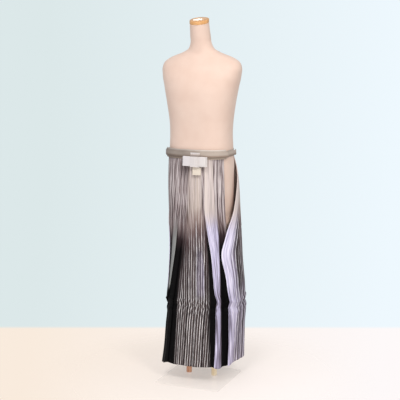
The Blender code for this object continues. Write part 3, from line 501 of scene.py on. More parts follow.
waist = {
    "stations": 72, "bandStations": 13, "strapFrom": 2, "strapTo": 24,   # shared steps round the waist
    "band": 0.0020, "inset": 0.0092, "stepRun": 0.020, "frontStep": 0.004, "backStep": 0.006,
    "rootStart": 0.235, "rootRun": 0.040,
    "bandHeights": [1.004, 1.045], "frontHeights": [1.014, 1.040], "backHeights": [1.012, 1.034],
    "rows": 9, "crown": 0.0005,
    "boardHeights": [1.000, 1.088], "boardThick": 0.0045, "boardReach": [0.126, 0.086],
    "boardSteps": [24, 60], "rounding": (0.0004, 2), "boardRounding": (0.0014, 3),   # radius and segments
}
bandDepth = -(cloth["wall"] / 2 + cloth["gap"] + waist["band"] / 2)
frontStrapDepth = bandDepth - waist["band"] - cloth["gap"]
backStrapDepth = frontStrapDepth - waist["band"] - cloth["gap"]
frontStrapSide = waist["inset"] - waist["band"] / 2 - cloth["gap"]
backStrapSide = frontStrapSide - waist["band"] - cloth["gap"]
boardDepth = -(cloth["wall"] / 2 + cloth["gap"] + waist["boardThick"] / 2)


def girthStep(z):
    line = hangLine(z)
    return (line["left"] + line["right"]) / waist["stations"]


def bandPiece(node, material, heights, stations, columns, depthOf, crown):
    rows = []
    low, high = heights
    for z in np.linspace(low, high, waist["rows"]):
        line = hangLine(z)
        if stations:
            s = np.linspace(*stations, columns) * girthStep(z)
        else:
            s = np.linspace(-line["right"], line["left"], columns)
        rise = 2 * (z - low) / (high - low) - 1
        x, y = onCloth(z, s, depthOf(s) - crown * (1 - rise ** 2), creased=False)
        rows.append((rowAt(z, x, y), rowAt(z, s)))
    piece = layPiece(node, material, rows, waist["band"] - 2 * waist["crown"], waist["rounding"],
                     closed=not stations, name="silk_" + node.replace("_wrap", ""))


def makeBands(bandSilk, strapSilk):
    reach = waist["bandStations"] * girthStep(cloth["waistZ"])
    n = waist["bandStations"]

    def frontStrap(s):
        share = eased(np.abs(s), reach + waist["frontStep"], waist["stepRun"])
        return frontStrapDepth + (frontStrapSide - frontStrapDepth) * share

    def backStrap(s):
        share = eased(np.abs(s), reach + waist["backStep"], waist["stepRun"])
        near = backStrapDepth + (backStrapSide - backStrapDepth) * share
        return near + (boardDepth - near) * eased(np.abs(s), waist["rootStart"], waist["rootRun"])

    bandPiece("waistband_front", bandSilk, waist["bandHeights"], (-n, n), 90,
              lambda s: np.full_like(s, bandDepth), 0.0)
    bandPiece("front_strap_wrap", strapSilk, waist["frontHeights"], None, 289, frontStrap,
              waist["crown"])
    for side, stations, columns in (("left", (waist["strapFrom"], waist["strapTo"]), 90),
                                    ("right", (-waist["strapTo"], waist["strapFrom"] - 1), 100)):
        bandPiece("back_strap_" + side, strapSilk, waist["backHeights"], stations, columns,
                  backStrap, waist["crown"])


def makeBackBoard(material):
    low, high = waist["boardHeights"]
    wide, narrow = waist["boardReach"]
    count, columns = waist["boardSteps"]
    rows = []
    for z in np.linspace(low, high, count):
        share = (z - low) / (high - low)
        reach = wide + (narrow - wide) * share
        along = np.linspace(-reach, reach, columns)
        line = hangLine(z)
        s = np.where(along <= 0, line["left"] + along, along - line["right"])
        x, y = onCloth(z, s, np.full(len(s), boardDepth), creased=False)
        rows.append((rowAt(z, x, y), rowAt(z, along)))
    layPiece("back_board", material, rows, waist["boardThick"], waist["boardRounding"])


knot = {
    "x": 0.019, "length": 0.111, "height": 0.043, "layer": 0.0036, "layers": 4, "middleZ": 0.9960,
    "rows": 12, "columns": 26, "turnSteps": 8, "turnShare": 0.9, "inner": 0.97, "bow": 0.0004,
    "step": 0.0018, "cloth": 0.0024, "ease": 0.0002, "rounding": (0.0007, 2),
    "lift": [0.0, -0.0005, 0.0006, -0.0002],      # each layer sits a little higher or lower
    "slant": [0.0, 0.0014, 0.0022, 0.0058],        # and its lower left corner reaches out
    "tilt": 0.0016,                                # the left end sits higher than the right
    "taper": 0.0034,                               # and the lower edge rises to the right
    "wrapWidth": 0.041, "wrapThick": 0.0024, "wrapTop": 1.0335, "groove": 0.00045,
    "wrapLean": 0.0030, "wrapFlare": 0.0020,       # it leans to the left where it passes over the bar
    "stripStep": 0.0007, "grooves": 5, "stripRounding": (0.0005, 2),
    "tailWidth": 0.038, "tailHeight": 0.035, "tailShift": 0.008, "tailThick": 0.0038, "tailLean": 0.0024,
    "wrapLength": 0.094, "tailLength": 0.105,      # of the cloth before it was folded
}


def knotFrontY():
    front = np.array(backStrapDepth - waist["band"] / 2)
    return float(onCloth(waist["backHeights"][0], knot["x"], front, creased=False)[1])


def makeKnotBar(white):
    backY = knotFrontY() - cloth["gap"] - knot["ease"]
    layer, count = knot["layer"], knot["layers"]
    rows = []
    for t in np.linspace(0, 1, knot["rows"]):
        run = []
        lifts = [(t - 0.5) * knot["height"] * knot["inner"] + lift for lift in knot["lift"]]
        for k in range(count):
            half = knot["length"] / 2 - k * knot["step"] - layer / 2
            y = backY - (k + 0.5) * layer
            way = 1 if k % 2 == 0 else -1
            left = half + knot["slant"][k] * (1 - t)
            ends = (-left, half) if way > 0 else (half, -left)
            bow = knot["bow"] * math.sin(math.pi * t)
            for share in np.linspace(0, 1, knot["columns"]):
                x = ends[0] + (ends[1] - ends[0]) * share
                tilt = -knot["tilt"] * 2 * x / knot["length"] * k / (count - 1)
                rise = knot["taper"] * (1 - t) * max(0.0, x / knot["length"] + 0.1)
                run.append((knot["x"] + x, y - bow, knot["middleZ"] + lifts[k] + tilt + rise))
            if k < count - 1:
                for angle in np.linspace(0, math.pi, knot["turnSteps"] + 1)[1:-1]:
                    run.append((knot["x"] + ends[1] + way * layer / 2 * math.sin(angle) * knot["turnShare"],
                                y - layer / 2 + layer / 2 * math.cos(angle),
                                knot["middleZ"] + lifts[k] + (lifts[k + 1] - lifts[k]) * angle / math.pi))
        rows.append((run, rowAt(t * knot["height"], runAlong(run))))
    piece = layPiece("knot_bar", white, rows, knot["cloth"], knot["rounding"])
    return backY - count * layer


def foldedStrip(node, material, profile, passes, columns, width, centreX, thickness, groove,
                lean=0.0, flare=0.0):
    profile = np.array(profile)
    dense = divided(profile, [max(2, int(np.linalg.norm(b - a) / knot["stripStep"]))
                              for a, b in zip(profile, profile[1:])])
    evenOut(dense, passes)
    steps = np.gradient(dense, axis=0)
    sides = np.stack([steps[:, 1], -steps[:, 0]], axis=1) / np.linalg.norm(steps, axis=1)[:, None]
    rows = []
    for t in np.linspace(-0.5, 0.5, columns):
        ripple = groove * np.cos(t * 2 * math.pi * knot["grooves"] + 0.6) * (1 - (2 * t) ** 6)
        plan = dense + sides * ripple
        forward = (dense[0, 0] - dense[:, 0]) / max(np.ptp(dense[:, 0]), 0.001)
        x = centreX + lean * forward + t * (width + flare * (1 - forward))
        rows.append((np.column_stack([x, plan]), rowAt(t * width, runAlong(dense))[:, ::-1]))
    piece = layPiece(node, material, rows, thickness, knot["stripRounding"])


def makeKnotWrapAndTail(barFrontY, shadedWrapSilk, tailSilk):
    backY = knotFrontY() - cloth["gap"]
    thick = knot["wrapThick"]
    mid = thick / 2
    top = knot["middleZ"] + knot["height"] / 2 + cloth["gap"]
    bottom = knot["middleZ"] - knot["height"] / 2 - cloth["gap"]
    face = barFrontY - cloth["gap"]
    profile = [(backY - mid, knot["wrapTop"]), (backY - mid, top + mid * 2.2), (face - mid, top + mid),
               (face - mid, bottom - mid), (backY, bottom - mid)]
    foldedStrip("knot_wrap", shadedWrapSilk, profile, 4, 40, knot["wrapWidth"], knot["x"],
                thick - 2 * knot["groove"], knot["groove"],
                knot["wrapLean"], knot["wrapFlare"])
    tailTop = bottom - thick - cloth["gap"]
    tailBottom = tailTop - knot["tailHeight"]
    layer = knot["tailThick"] / 3
    lean = knot["tailLean"]
    backs = [backY - layer * (k + 0.5) for k in range(3)]
    profile = [(backs[0], tailTop - 0.001), (backs[0] - lean, tailBottom + 0.001),
               (backs[1] - lean, tailBottom + 0.001), (backs[1], tailTop - 0.001),
               (backs[2], tailTop - 0.0012), (backs[2] - lean, tailBottom + 0.0012)]
    foldedStrip("knot_tail", tailSilk, profile, 1, 24, knot["tailWidth"], knot["x"] + knot["tailShift"],
                layer * 0.72, 0.0001)


form = inMetres({  # rings of the dress form from the hips to the top of the neck
    "z":         [680, 686, 760, 860, 930, 1150, 1240, 1310, 1360, 1393, 1418, 1438, 1453, 1468, 1490, 1530,
                  1581.5],
    "halfWidth": [112, 121, 138, 143, 143, 140, 152, 166, 177, 180, 168, 134, 92, 62, 48, 44, 41.2],
    "front":     [80, 87, 98, 103, 105.5, 106, 114, 113, 101, 86, 70, 58, 51, 48, 45, 43, 41],
    "back":      [85, 92, 108, 108, 104, 96, 102, 108, 104, 92, 76, 64, 56, 50, 46, 43, 41],
    "shiftY":    [8, 8, 6, 3, 1, 0, 0, 0, 2, 4, 6, 6, 4, 0, -5, -15, -27],
    "power":     [2.2, 2.2, 2.3, 2.3, 2.4, 2.4, 2.4, 2.3, 2.3, 2.2, 2.1, 2.0, 2.0, 2.0, 2.0, 2.0, 2.0],
    "waistZ":    [975, 1005, 1030, 1055, 1090],      # rings that follow the cloth's own outline
    "ease": 0.4, "sides": 120, "rows": 190, "slope": 0.25, "slopeFrom": 1490,
}, "power", "sides", "rows", "slope")


def formRings():
    angles = np.linspace(-math.pi, math.pi, form["sides"] + 1)
    rings = []
    for k, z in enumerate(form["z"]):
        x, y = oblong(angles, form["halfWidth"][k], form["front"][k], form["back"][k], form["power"][k])
        rings.append((z, x, y + form["shiftY"][k]))
    for z in form["waistZ"]:
        line = hangLine(z)
        s = np.linspace(-line["right"], line["left"], form["sides"] + 1)
        x, y = onCloth(z, s, np.full(len(s), waist["inset"] + form["ease"]), creased=False)
        rings.append((z, x, y))
    return sorted(rings, key=lambda ring: ring[0])


def neckRise(y, z):  # the neck's top and its cap slope down to the front
    share = (z - form["slopeFrom"]) / (form["z"][-1] - form["slopeFrom"])
    return min(max(share, 0.0), 1.0) * form["slope"] * y


def makeTorso(jersey):
    rings = formRings()
    zs = np.array([ring[0] for ring in rings])
    plans = np.array([np.stack(ring[1:], axis=1) for ring in rings])
    heights = np.unique(np.concatenate([np.linspace(zs[0], zs[-1], form["rows"]), zs[:3]]))
    rows = []
    for z in heights:
        plan = curveAt(zs, plans, z)
        rise = neckRise(plan[:, 1] - form["shiftY"][-1], z)
        rows.append((np.column_stack([plan, z + rise]), rowAt(z, np.linspace(0, 0.85, len(plan)))))
    piece = layPiece("form_torso", jersey, rows, 0, closed=True, name="form_torso_fine")
    shell = bmesh.new()
    shell.from_mesh(piece.data)
    bmesh.ops.holes_fill(shell, edges=[edge for edge in shell.edges if edge.is_boundary], sides=0)
    bmesh.ops.recalc_face_normals(shell, faces=shell.faces)
    shell.to_mesh(piece.data)
    shell.free()
    piece.data.set_sharp_from_angle(angle=math.radians(50))


cap = {  # the turned wooden cap on the neck: shares of its height and radius
    "up":   [0.00, 0.02, 0.07, 0.25, 0.48, 0.68, 0.78, 0.845, 0.88, 0.92, 0.955, 0.985, 1.00],
    "wide": [0.965, 0.99, 1.00, 1.00, 1.00, 1.00, 0.990, 0.965, 0.93, 0.80, 0.62, 0.36, 0.0],
    "height": 0.0165, "overhang": 0.0010, "segments": 96, "rings": 49, "rounding": 3,
}


def makeNeckCap(wood):
    radius = form["front"][-1] + cap["overhang"]
    centre = Vector((0, form["shiftY"][-1], form["z"][-1] + cloth["gap"]))
    builder = bmesh.new()
    marks = np.linspace(0, len(cap["up"]) - 1, cap["rings"])
    ups, wides = [np.interp(marks, range(len(cap[name])), cap[name]) for name in ("up", "wide")]
    evenOut(ups, cap["rounding"])
    evenOut(wides, cap["rounding"])
    verts = [builder.verts.new(centre)]
    verts += [builder.verts.new(centre + Vector((radius * wide, 0, cap["height"] * up)))
              for up, wide in zip(ups, wides)]
    profile = [builder.edges.new(pair) for pair in zip(verts, verts[1:])]
    bmesh.ops.spin(builder, geom=verts + profile, cent=centre, axis=(0, 0, 1), angle=2 * math.pi,
                   steps=cap["segments"], use_merge=True)
    bmesh.ops.remove_doubles(builder, verts=builder.verts, dist=0.00002)
    for vert in builder.verts:
        vert.co.z += neckRise(vert.co.y - centre.y, vert.co.z)
    bmesh.ops.recalc_face_normals(builder, faces=builder.faces)
    finishPiece(pieceFrom(builder, "form_neck_cap_turned", 60), "form_neck_cap", wood)


post = {"radius": 0.0125, "spacing": 0.122, "top": 0.6674, "foot": 0.0083, "segments": 72,
        "rounding": 0.0008}


def makePosts(leftWood, rightWood):
    # the posts are one wood: the wearer's right post gets a copy painted darker and redder as shade, the
    # wearer's left post a copy painted paler as lit
    for node, side, wood in (("post_left", 1, leftWood), ("post_right", -1, rightWood)):
        builder = bmesh.new()
        bmesh.ops.create_cone(builder, cap_ends=True, segments=post["segments"], radius1=post["radius"],
                              radius2=post["radius"], depth=post["top"] - post["foot"])
        rims = [edge for edge in builder.edges if abs(edge.verts[0].co.z - edge.verts[1].co.z) < 0.001]
        bmesh.ops.bevel(builder, geom=rims, affect="EDGES", offset=post["rounding"], segments=2,
                        profile=0.5, material=-1)
        bmesh.ops.translate(builder, verts=builder.verts,
                            vec=(side * post["spacing"] / 2, 0, (post["top"] + post["foot"]) / 2))
        finishPiece(pieceFrom(builder, node + "_turned", 50), node, wood)


def linear(hexColour):
    parts = [int(hexColour[i:i + 2], 16) / 255 for i in (1, 3, 5)]
    return tuple(c / 12.92 if c <= 0.04045 else ((c + 0.055) / 1.055) ** 2.4 for c in parts) + (1.0,)


def joined(tree, source, socket):  # a node stands for its first output, and text for a colour
    if isinstance(source, bpy.types.Node):
        source = next(output for output in source.outputs if output.enabled)
    if isinstance(source, bpy.types.NodeSocket):
        tree.links.new(source, socket)
    else:
        socket.default_value = linear(source) if isinstance(source, str) else source


mainSetting = {"Math": "operation", "VectorMath": "operation", "MapRange": "interpolation_type",
               "Mix": "data_type", "TexNoise": "noise_dimensions", "TexWhiteNoise": "noise_dimensions"}


def addNode(tree, kind, *inputs, **named):  # capitalised names are sockets, and the others are settings
    kind, *choice = kind.split()      # "Math SINE" is a Math node with its main setting
    node = tree.nodes.new("ShaderNode" + kind)
    if choice:
        setattr(node, mainSetting[kind], choice[0])
    for name, value in named.items():
        if name == "stops":
            ramp = node.color_ramp.elements
            while len(ramp) < len(value):
                ramp.new(0.5)
            for element, (position, colour) in zip(ramp, value):
                element.position, element.color = position, linear(colour)
        elif name[0].islower():
            setattr(node, name, value)
    for value, socket in zip(inputs, [socket for socket in node.inputs if socket.enabled]):
        joined(tree, value, socket)
    for name, value in named.items():
        if name[0].isupper():
            joined(tree, value, node.inputs[name])
    return node


def newMaterial(name, **constants):
    material = bpy.data.materials.new(name)
    material.use_nodes = True
    tree = material.node_tree
    shader = tree.nodes["Principled BSDF"]
    for socket, value in constants.items():
        shader.inputs[socket.replace("_", " ")].default_value = value
    add = functools.partial(addNode, tree)
    return material, add, shader, add("TexCoord").outputs["Object"]


def dressShader(shader, add, colour, patches, roughness, **relief):  # its roughness varies in patches
    joined(shader.id_data, colour, shader.inputs["Base Color"])
    joined(shader.id_data, add("MapRange", patches, 0.3, 0.7, *roughness), shader.inputs["Roughness"])
    if relief:
        joined(shader.id_data, add("Bump", **relief), shader.inputs["Normal"])


silk = {
    # the dye from hem to waist, by height: between the stripes, and where the cloth has none
    "betweenStripes": [(0.36, "#191213"), (0.45, "#2A2022"), (0.58, "#382B2C"), (0.64, "#4B3A3B"),
                       (0.69, "#6A534F"), (0.74, "#A58F86"), (0.785, "#C8B7AC"), (0.85, "#CDBCB1")],
    "plain": [(0.36, "#030203"), (0.60, "#0A0708"), (0.655, "#332628"), (0.70, "#675453"),
              (0.745, "#938181"), (0.79, "#A69794"), (0.85, "#AB9D99")],
    "lilac": [(0.0, "#030203"), (0.25, "#33292F"), (0.5, "#756C7B"), (0.75, "#B8B1CD"), (1.0, "#ECE5F8")],
    "lilacTop": "#DCCDC7",
    "topStreaks": [(0.37, "#35262A"), (0.50, "#8A7A7A"), (0.61, "#D2C6C6")],
    # the grey is painted shade: the colour given to the lilac strip on the wearer's right, as lilac looks in
    # shade
    "shadedLilac": "#A8A8A6", "stripe": "#F0E9EA", "stripeLilac": "#EEE8F2",
    "dull": "#978685", "dullLilac": "#A698A6", "dullHigh": "#4E3936",
    "pitch": 10.8,           # mm from one bright stripe to the next, with dull ones between them
    "half": [0.072, 0.056], "soft": 0.036, "shift": 0.24,
    "dullLines": [(0.05, 0.060, 0.045), (0.25, 0.030, 0.040), (0.81, 0.060, 0.045)],   # middle, half, soft
    "lowest": 0.36, "highest": 0.85, "lilacFade": [0.64, 0.76], "lineTop": [0.750, 0.785],
    "darkerTo": [0.005, 0.055],   # the dark dye reaches higher on the wearer's left of the centre pleat
    "streaks": {"coarse": (6.7, 200.0), "fine": (2.4, 110.0), "broken": (3.4, 60.0),
                "crumple": (11.0, 42.0)},   # width and length in mm
    "thread": 1.2,           # mm; drawn three times as coarse as the real rib, so that it shows
}


def stripedSilk():  # woven striped silk: a soft dull sheen, fine warp ribs, shaded from beige down to black
    material, add, shader, place = newMaterial("striped_hakama_silk", Sheen_Weight=0.01,
                                               Sheen_Roughness=0.4, Specular_IOR_Level=0.08, IOR=1.5)
    cut = add("UVMap", uv_map="cut")
    tone = add("SeparateXYZ", add("UVMap", uv_map="tone"))
    across = add("SeparateXYZ", cut)
    x, z, lilac, stripe = across.outputs[0], across.outputs[1], tone.outputs[0], tone.outputs[1]

    noise = {}
    for name, (width, length) in silk["streaks"].items():
        run = add("Mapping", cut, Scale=(1000 / width, 1000 / length, 1.0))
        noise[name] = add("TexNoise 2D", run, 1.0, 2.0)
    streak = add("Math MULTIPLY_ADD", noise["coarse"], 0.9, -0.85)
    streak = add("Math MULTIPLY_ADD", noise["fine"], 0.8, streak)

    # the dye creeps unevenly up the cloth
    cloud = add("TexNoise", place, 9.0, 3.0)
    level = add("Math MULTIPLY_ADD", cloud, 0.05, add("Math ADD", z, -0.025))
    level = add("Math MULTIPLY_ADD", streak, 0.035, level)
    level = add("Math ADD", level, add("MapRange", add("SeparateXYZ", place), *silk["darkerTo"], 0.0, -0.03))
    height = add("MapRange", level, silk["lowest"], silk["highest"])
    fade = add("MapRange SMOOTHSTEP", level, *silk["lilacFade"])
    span = silk["highest"] - silk["lowest"]
    ramps = [[((at - silk["lowest"]) / span, colour) for at, colour in silk[name]]
             for name in ("plain", "betweenStripes")]
    plain, between = [add("ValToRGB", height, stops=ramp) for ramp in ramps]
    share = add("Math MULTIPLY", stripe, 3.5, use_clamp=True)
    ground = add("Mix RGBA", share, plain, between)

    # where the cloth is undyed, fine streaks show between the pleats
    topStreaks = add("ValToRGB", add("Math ADD", streak, 0.5), stops=silk["topStreaks"])
    share = add("Math MULTIPLY", add("Math MULTIPLY_ADD", stripe, -0.68, 0.84), fade)
    ground = add("Mix RGBA", share, ground, topStreaks)

    # lilac parts
    isLilac = add("Math MULTIPLY", lilac, 4.0, use_clamp=True)
    dyed = add("Math MULTIPLY_ADD", add("Math MULTIPLY", streak, isLilac), 0.95, lilac, use_clamp=True)
    lilacLow = add("ValToRGB", dyed, stops=silk["lilac"])
    share = add("MapRange SMOOTHSTEP", lilac, 0.60, 0.90)
    lilacHigh = add("Mix RGBA", share, ground, silk["lilacTop"])
    lilacGround = add("Mix RGBA", fade, lilacLow, lilacHigh)
    ground = add("Mix RGBA", isLilac, ground, lilacGround)
    # painted shade: where the tone is below nothing, the lilac strip is painted grey
    share = add("MapRange", level, *silk["lilacFade"], -1.0, 0.0)
    isShadedLilac = add("Math MULTIPLY", lilac, share, use_clamp=True)
    ground = add("Mix RGBA", isShadedLilac, ground, silk["shadedLilac"])

    # the stripes: each has its own place, width and strength, and they bunch and part a little
    wobble = add("Math MULTIPLY_ADD", add("TexNoise", place, 6.0, 1.0), 0.0018, x)
    wobble = add("Math MULTIPLY_ADD", noise["crumple"], 0.0030, wobble)
    count = add("Math MULTIPLY", wobble, 1000 / silk["pitch"])
    within = add("Math FRACT", count)
    number = add("Math FLOOR", count)
    chance = add("TexWhiteNoise 1D", number)
    other = add("TexWhiteNoise 1D", add("Math ADD", number, 57.3))
    third = add("Math MULTIPLY", add("Math ADD", chance, other), 7.3)
    third = add("Math FRACT", third)
    middle = add("Math MULTIPLY_ADD", third, silk["shift"], 0.5 - silk["shift"] / 2)
    half = add("Math MULTIPLY_ADD", chance, silk["half"][1], silk["half"][0])
    strengths = [add("Math MULTIPLY_ADD", other, 0.35, 0.65), add("Math MULTIPLY_ADD", other, 0.7, 0.3),
                 chance, add("Math MULTIPLY_ADD", chance, -0.7, 1.0)]
    lines = []
    for (centre, width, soft), strength in zip([(middle, half, silk["soft"])] + silk["dullLines"], strengths):
        offset = add("Math SUBTRACT", within, centre)
        edge = add("Math SUBTRACT", add("Math ABSOLUTE", offset), width)
        line = add("MapRange SMOOTHSTEP", edge, -soft, soft, 1.0, 0.0)
        lines.append(add("Math MULTIPLY", line, strength))
    dull = add("Math MAXIMUM", add("Math MAXIMUM", lines[1], lines[2]), lines[3])
    dull = add("Math MULTIPLY", dull, add("Math MULTIPLY_ADD", noise["fine"], 1.5, -0.10, use_clamp=True))
    ends = add("MapRange SMOOTHSTEP", level, *silk["lineTop"], 0.86, 0.12)
    dull = add("Math MULTIPLY", add("Math MULTIPLY", dull, stripe), ends)
    dullColour = add("Mix RGBA", isLilac, add("Mix RGBA", fade, silk["dull"], silk["dullHigh"]),
                     silk["dullLilac"])
    ground = add("Mix RGBA", dull, ground, dullColour)
    bright = add("Math MULTIPLY", add("Math MULTIPLY", lines[0], stripe),
                 add("Math MULTIPLY_ADD", fade, -0.62, 1.05))
    gaps = add("Math MULTIPLY_ADD", noise["broken"], 2.6, -0.42, use_clamp=True)
    bright = add("Math MULTIPLY", bright, gaps)
    colour = add("Mix RGBA", bright, ground, add("Mix RGBA", isLilac, silk["stripe"], silk["stripeLilac"]))

    worn = add("TexNoise", place, 40.0, 3.0)
    turn = 2000 * math.pi / silk["thread"]
    warp = add("Math SINE", add("Math MULTIPLY", x, turn))
    weft = add("Math SINE", add("Math MULTIPLY", z, turn))
    rib = add("Math MULTIPLY_ADD", weft, 0.5, warp)
    rib = add("Math MULTIPLY_ADD", worn, 2.0, rib)
    weave = add("Bump", Strength=0.25, Distance=0.0002, Height=rib)
    dressShader(shader, add, colour, worn, (0.56, 0.72), Strength=0.5, Distance=0.0016,
                Height=noise["coarse"], Normal=weave)
    return material


def plainSilk(name, pale, shade, ribs, roughness, paintedShade=()):
    # firm ribbed silk: even and matt, fine ribs (mm) along it; the last argument is painted shade: the tones
    # it multiplies the colour by at heights (m)
    material, add, shader, place = newMaterial(name, Sheen_Weight=0.10, Sheen_Roughness=0.5,
                                               Specular_IOR_Level=0.3, IOR=1.5)
    cut = add("SeparateXYZ", add("UVMap", uv_map="cut"))
    cloud = add("TexNoise", place, 22.0, 4.0)
    # painted shade: darker towards -X, the side away from the key light, mixed with patches of tone
    sideways = add("MapRange", add("SeparateXYZ", place), -0.03, 0.06, 0.45, -0.25)
    share = add("Math MULTIPLY_ADD", cloud, 0.6, sideways, use_clamp=True)
    turn = 2000 * math.pi / ribs
    warp = add("Math SINE", add("Math MULTIPLY", cut.outputs[0], turn))
    weft = add("Math SINE", add("Math MULTIPLY", cut.outputs[1], turn))
    rib = add("Math MULTIPLY_ADD", warp, 0.6, weft)
    colour = add("Mix RGBA", share, pale, shade)
    # painted shade: the colour is multiplied down by height
    if paintedShade:
        low, high = paintedShade[0][0], paintedShade[-1][0]
        height = add("MapRange", add("SeparateXYZ", place).outputs[2], low, high)
        tones = add("ValToRGB", height, stops=[((at - low) / (high - low), tone) for at, tone in paintedShade])
        colour = add("Mix RGBA", 1.0, colour, tones, blend_type="MULTIPLY")
    dressShader(shader, add, colour, cloud, (roughness - 0.06, roughness + 0.06), Strength=0.3,
                Distance=0.0002, Height=rib)
    return material


def knitJersey():  # fine skin-coloured jersey stretched over the form: matt, with tiny loops
    material, add, shader, place = newMaterial("skin_toned_jersey", Sheen_Weight=0.15,
                                               Sheen_Roughness=0.5, IOR=1.45)
    cloud = add("TexNoise", place, 14.0, 3.0)
    loops = add("TexVoronoi", place, Scale=1000 / 1.6)   # loops 1.6 mm apart
    dressShader(shader, add, add("Mix RGBA", cloud, "#E6CDBE", "#DABBAA"), cloud, (0.62, 0.74),
                Strength=0.22, Distance=0.0002, Height=loops)
    return material


def turnedWood(name, pale, deep, roughness, coat, grain):
    # lacquered wood, beech on the cap and one light wood on both posts: a clear gloss over a fine straight
    # grain (mm) along Z
    material, add, shader, place = newMaterial(name, IOR=1.5, Coat_Weight=coat, Coat_Roughness=0.12)
    long = add("Mapping", place, Scale=(1.0, 1.0, 0.08))
    fibre = add("TexNoise", long, 1000 / grain, 5.0, Distortion=0.4)
    rings = add("TexWave", long, 1000 / (9 * grain), 3.0, 2.0, wave_type="RINGS", rings_direction="Z")
    mixed = add("Math MULTIPLY_ADD", rings.outputs[1], 0.35, fibre)
    dressShader(shader, add, add("ValToRGB", mixed, stops=[(0.35, deep), (0.85, pale)]), fibre,
                (roughness - 0.05, roughness + 0.08), Strength=0.12, Distance=0.0003, Height=fibre)
    return material


def paleBoard():  # the painted board under the form: satin, slightly uneven
    material, add, shader, place = newMaterial("painted_beech_board", IOR=1.5)
    cloud = add("TexNoise", place, 60.0, 4.0)
    dressShader(shader, add, add("Mix RGBA", cloud, "#D9B48F", "#C69A72"), cloud, (0.42, 0.55),
                Strength=0.1, Distance=0.0003, Height=cloud)
    return material


def paleAcrylic():  # thick polished acrylic: clear, the floor shows through it, with slight smears
    material, add, shader, place = newMaterial("polished_acrylic_sheet", IOR=1.49, Alpha=0.12)
    smear = add("TexNoise", place, 7.0, 3.0)
    dressShader(shader, add, add("Mix RGBA", smear, "#F1ECE6", "#E9E6E4"), smear, (0.06, 0.13))
    return material


print("materials")
hakamaSilk = stripedSilk()
# painted shade: the band is darker everywhere below its top edge
bandSilk = plainSilk("cream_waistband_silk", "#D8CDC4", "#A1968E", 1.2, 0.62,
                     [(1.012, "#CFC3B9"), (1.037, "#CFC3B9"), (1.042, "#FFFFFF")])
# painted shade: the strap's lower edge is darker
strapSilk = plainSilk("beige_strap_silk", "#B8A99D", "#82776F", 1.2, 0.62,
                      [(1.013, "#B9AFA7"), (1.018, "#D6CCC4"), (1.024, "#FFFFFF")])
whiteSilk = plainSilk("white_knot_silk", "#DDD5D2", "#D8D2D5", 1.2, 0.60)
# painted shade: the wrap is a slightly darker copy of the white knot silk, with a painted shadow line in the
# crease where it turns over the bar
shadedWrapSilk = plainSilk("white_wrap_silk_painted_shade", "#DAD1CD", "#D5CECF", 1.2, 0.60,
                     [(1.0170, "#FFFFFF"), (1.0185, "#ABA39E"), (1.0215, "#B4ACA6"), (1.0255, "#EDE6E0"),
                      (1.0285, "#FFFFFF")])
creamSilk = plainSilk("cream_tail_silk", "#E4D7C7", "#DACCBC", 1.2, 0.62)
jersey = knitJersey()
capWood = turnedWood("lacquered_beech_cap", "#DDA568", "#C08644", 0.50, 0.70, 16.0)
# the two post woods are one wood, one copy painted in shade and one painted lit
shadedPostWood = turnedWood("lacquered_post_wood_painted_shade", "#DDA684", "#B87A5A", 0.34, 0.35, 11.0)
litPostWood = turnedWood("lacquered_post_wood_painted_light", "#FBEBCB", "#EBD3A8", 0.30, 0.45, 11.0)
board = paleBoard()
acrylic = paleAcrylic()

print("skirt panels")
makePanel("front_left", frontLeftPath, False, [(0, 2), (10, 13)], hakamaSilk)
makePanel("front_right", frontRightPath, True, [(0, 1), (4, 7), (13, 16), (20, 23)], hakamaSilk)
for side, mirrored, area in (("left", False, 0.340), ("right", True, 0.320)):
    makePanel("back_" + side, functools.partial(backPath, side), mirrored, [(0, 2), (14, 16)], hakamaSilk,
              0.48)
print("gussets")
makeGusset("gusset_left", 1, hakamaSilk)
makeGusset("gusset_right", -1, hakamaSilk)
print("bands and straps")
makeBands(bandSilk, strapSilk)
makeBackBoard(whiteSilk)
print("knot")
barFrontY = makeKnotBar(whiteSilk)
makeKnotWrapAndTail(barFrontY, shadedWrapSilk, creamSilk)
print("dress form and stand")
makeTorso(jersey)
makeNeckCap(capWood)
makePosts(litPostWood, shadedPostWood)
for node, material in (("form_base_board", board), ("base_plate", acrylic)):
    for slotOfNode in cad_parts[node].material_slots:
        slotOfNode.material = material

print("floor, lights and camera")
studio = {
    "azimuth": 22.0, "distance": 4.65, "height": 1.6, "pitch": 9.67, "pan": 0.09, "lens": 95.94,
    "wall": ["#DCE8E9", "#EEF8FE"], "floor": ["#F9EBDD", "#FEF9F9"],
    "paint": ["#B4A79A", "#C1BCBB"], "glow": 0.54,      # the glow keeps the shadow faint
    "floorDrop": 0.0008, "floorRadius": 1.6, "floorFade": [0.34, 0.80],
    "skirting": [-0.2973, -0.2947],   # how far below eye level floor and walls meet, for each metre away
    "light": "#F2F4F6", "strength": 0.62,
}


def sidewaysMix(add, vector, low, high, colours):  # warmer and darker on one side, cooler on the other
    share = add("MapRange", add("SeparateXYZ", vector), low, high)
    return add("Mix RGBA", share, *colours)


def makeFloor():
    material, add, shader, place = newMaterial("cream_floor_paint", Roughness=0.85,
                                               Specular_IOR_Level=0.2, Emission_Strength=studio["glow"])
    for socket, colours in (("Base Color", studio["paint"]), ("Emission Color", studio["floor"])):
        joined(material.node_tree, sidewaysMix(add, place, -0.9, 0.9, colours), shader.inputs[socket])
    reach = add("VectorMath LENGTH", place)
    share = add("MapRange SMOOTHSTEP", reach, *studio["floorFade"])
    mixed = add("MixShader", share, shader, add("BsdfTransparent"))
    joined(material.node_tree, mixed, material.node_tree.nodes["Material Output"].inputs["Surface"])
    builder = bmesh.new()
    bmesh.ops.create_circle(builder, cap_ends=True, segments=96, radius=studio["floorRadius"])
    bmesh.ops.translate(builder, verts=builder.verts, vec=(0, 0, -studio["floorDrop"]))
    floor = pieceFrom(builder, "studio_floor")
    floor.data.materials.append(material)


